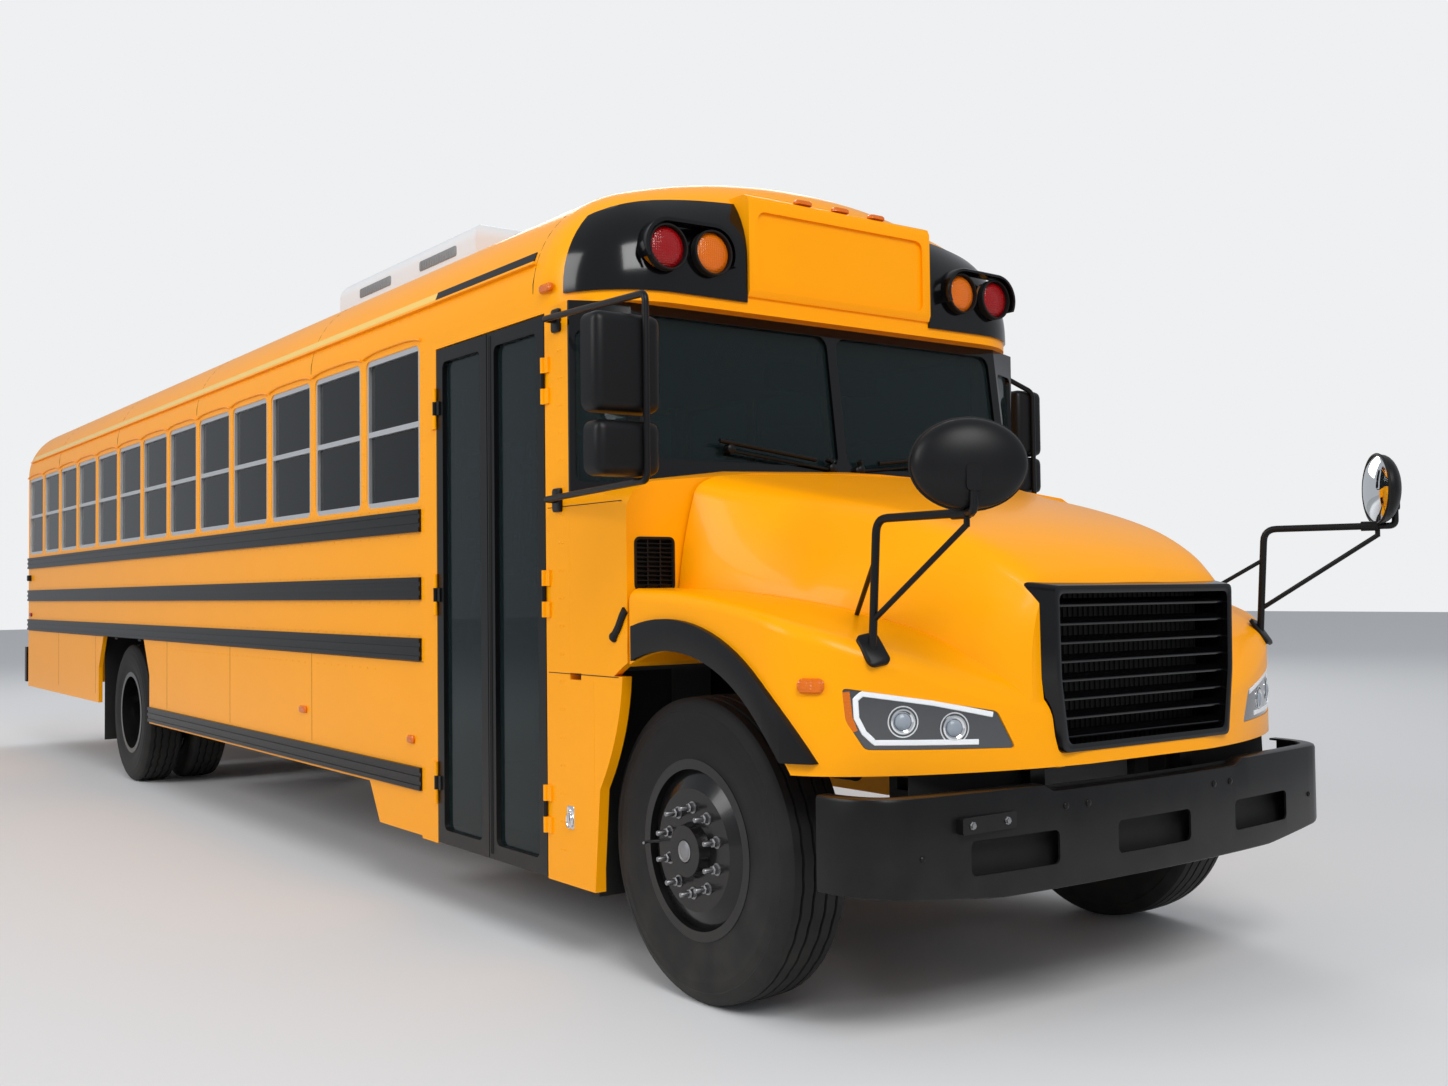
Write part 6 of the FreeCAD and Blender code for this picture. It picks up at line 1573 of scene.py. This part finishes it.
def make_lamp_pods():
    """Black panels on the rounded corners of the cap, with a visor over each pair of lamps."""
    arc = bezier([Vector((1.245, 2.590)), Vector((1.230, 2.900)), Vector((0.900, 2.935)),
                  Vector((0.502, 2.945))], 16)
    for side, label in SIDES:
        outline = [Vector((0.502, 2.530)), Vector((1.245, 2.530))] + arc
        region = prism([spot(side * x, 0.44, z) for x, z in outline], BACK * 0.32)
        pod = carve(cap_solid(-0.009, 2.40), cap_solid(0, 2.39))
        pod = carve(pod, region, "INTERSECT")
        for across, up in LAMP_CENTRES:
            ring = oval(spot(side * across, 0.40, up), RIGHT, UP, 0.083, 0.083, 48)
            pod = carve(pod, prism(ring, BACK * 0.3))
        visor = bmesh.new()
        path, outs = [], []
        for centre, start, end in ((LAMP_CENTRES[1], -0.15, 0.5), (LAMP_CENTRES[0], 0.5, 1.15)):
            for step in range(13):
                turn = math.pi * (start + (end - start) * step / 12)
                out = Vector((side * math.cos(turn), 0, math.sin(turn)))
                path.append(spot(side * centre[0], 0.500, centre[1]) + out * 0.102)
                outs.append(out)
        brow = [(-0.040, -0.006), (-0.040, 0.004), (-0.034, 0.008), (0.030, 0.008), (0.030, -0.006)]
        sweep(visor, path, outs, brow)
        join(pod, visor)
        made = add_piece(f"LampPod_{label}", pod, gloss_black, "root", 35)
        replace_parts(made, "lamp_pods")


def make_lenses():
    """Domed warning lamps front and rear, tail lamps and the roof's amber markers."""
    rim = [(-0.010, 0.0), (-0.010, 1.0), (0.010, 1.0), (0.017, 0.93), (0.024, 0.70), (0.029, 0.40),
           (0.030, 0.0)]
    shells = {"red_lamps": bmesh.new(), "amber_lamps": bmesh.new()}
    for side, _ in SIDES:
        for (across, up), node in zip(LAMP_CENTRES, ("amber_lamps", "red_lamps")):
            profile = [(along, share * 0.0815) for along, share in rim]
            lathe(shells[node], profile, spot(side * across, 0.512, up), -BACK, 48)
            rear = Vector((side * across, REAR_FACE - 0.004, up - REAR_LAMP_DROP))
            lathe(shells[node], profile, rear, BACK, 48)
        for up, node in zip(TAIL_HEIGHTS, ("red_lamps", "amber_lamps")):
            lathe(shells[node], [(along, share * 0.0895) for along, share in rim],
                  Vector((side * TAIL_ACROSS, REAR_FACE - 0.006, up)), BACK, 48)
    for across in (-0.203, 0.0, 0.203):
        outline = rounded(spot(across, 0.522, 2.969), RIGHT, BACK, 0.088, 0.036, 0.017)
        plate(shells["amber_lamps"], outline, UP, 0.015, 0.006)
    for name, node, material, slot in (("RedLenses", "red_lamps", red_lens, "red_lens"),
                                       ("AmberLenses", "amber_lamps", amber_lens, "amber_lens")):
        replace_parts(add_piece(name, shells[node], material, "root"), node)


def make_camera():
    """The photograph's camera: place, turn, slight tilt and roll, and lens."""
    yaw, pitch, roll = 0.6359, 0.0331, -0.0119
    image_width, focal_pixels = 1448, 1412.13
    ahead = Vector((math.sin(yaw) * math.cos(pitch), math.cos(yaw) * math.cos(pitch), math.sin(pitch)))
    right = Vector((math.cos(yaw), -math.sin(yaw), 0))
    up = right.cross(ahead)
    right, up = (right * math.cos(roll) + up * math.sin(roll), up * math.cos(roll) - right * math.sin(roll))
    data = bpy.data.cameras.new("Camera")
    data.sensor_width = 36
    data.lens = data.sensor_width * focal_pixels / image_width
    camera = bpy.data.objects.new("Camera", data)
    bpy.context.scene.collection.objects.link(camera)
    turn = Matrix((right, up, -ahead)).transposed().to_4x4()
    camera.matrix_world = Matrix.Translation(Vector((-3.9022, AXLE - 3.9159, 1.389))) @ turn
    bpy.context.scene.camera = camera


def make_studio():
    """Pale floor, pale surroundings and soft lamps."""
    reach = 60
    mesh = bpy.data.meshes.new("Floor")
    mesh.from_pydata([(-reach, -reach, 0), (reach, -reach, 0), (reach, reach, 0), (-reach, reach, 0)], [],
                     [(0, 1, 2, 3)])
    ground = bpy.data.objects.new("Floor", mesh)
    bpy.context.scene.collection.objects.link(ground)
    pale = bpy.data.materials.new("Pale floor")
    pale.use_nodes = True
    shader = pale.node_tree.nodes["Principled BSDF"]
    shader.inputs["Base Color"].default_value = (0.74, 0.74, 0.74, 1)
    shader.inputs["Roughness"].default_value = 0.8
    mesh.materials.append(pale)
    world = bpy.data.worlds.new("Studio")
    bpy.context.scene.world = world
    world.use_nodes = True
    background = world.node_tree.nodes["Background"]
    background.inputs["Color"].default_value = (0.9, 0.94, 1.0, 1)
    background.inputs["Strength"].default_value = 0.5
    links = world.node_tree.links
    seen = world.node_tree.nodes.new("ShaderNodeBackground")
    seen.inputs["Color"].default_value = (0.86, 0.87, 0.88, 1)
    rays = world.node_tree.nodes.new("ShaderNodeLightPath")
    choice = world.node_tree.nodes.new("ShaderNodeMixShader")
    links.new(rays.outputs["Is Camera Ray"], choice.inputs["Fac"])
    links.new(background.outputs["Background"], choice.inputs[1])
    links.new(seen.outputs["Background"], choice.inputs[2])
    links.new(choice.outputs["Shader"], world.node_tree.nodes["World Output"].inputs["Surface"])
    for name, place, size, power in (("Key", (-5, -16, 12), 7, 1500), ("Side", (-16, 0, 10), 8, 1150),
                                     ("Rear", (10, 12, 9), 8, 900)):
        data = bpy.data.lights.new(name, "AREA")
        data.size = size
        data.energy = power
        lamp = bpy.data.objects.new(name, data)
        bpy.context.scene.collection.objects.link(lamp)
        lamp.location = place
        lamp.rotation_euler = (Vector((0, 0, 1.2)) - Vector(place)).to_track_quat("-Z", "Y").to_euler()


dress_nodes()
make_hood()
make_headlamps()
make_grille()
make_flares()
make_cowl()
make_front_bumper()
HOOD_SURFACE = surface_of("HoodShell")
make_crossview_frames()
make_side_mirror_frames()
make_front_cap()
make_lamp_pods()
make_lenses()
make_tyres()
make_wheel_nuts()
make_grille_core()
make_headlamp_insides()
make_lamp_rims()
make_rivets()
make_seams()
make_drip_rails()
make_mirror_glass()
make_wiper_blades()
make_cowl_trim()
make_door_trim()
make_roof_fittings()
make_stop_sign()
make_rear_fittings()
make_bumper_bolts()
make_bench_pads()
make_driver_seat()
make_floor_mats()
make_camera()
make_studio()
bpy.context.scene.view_settings.view_transform = "Standard"
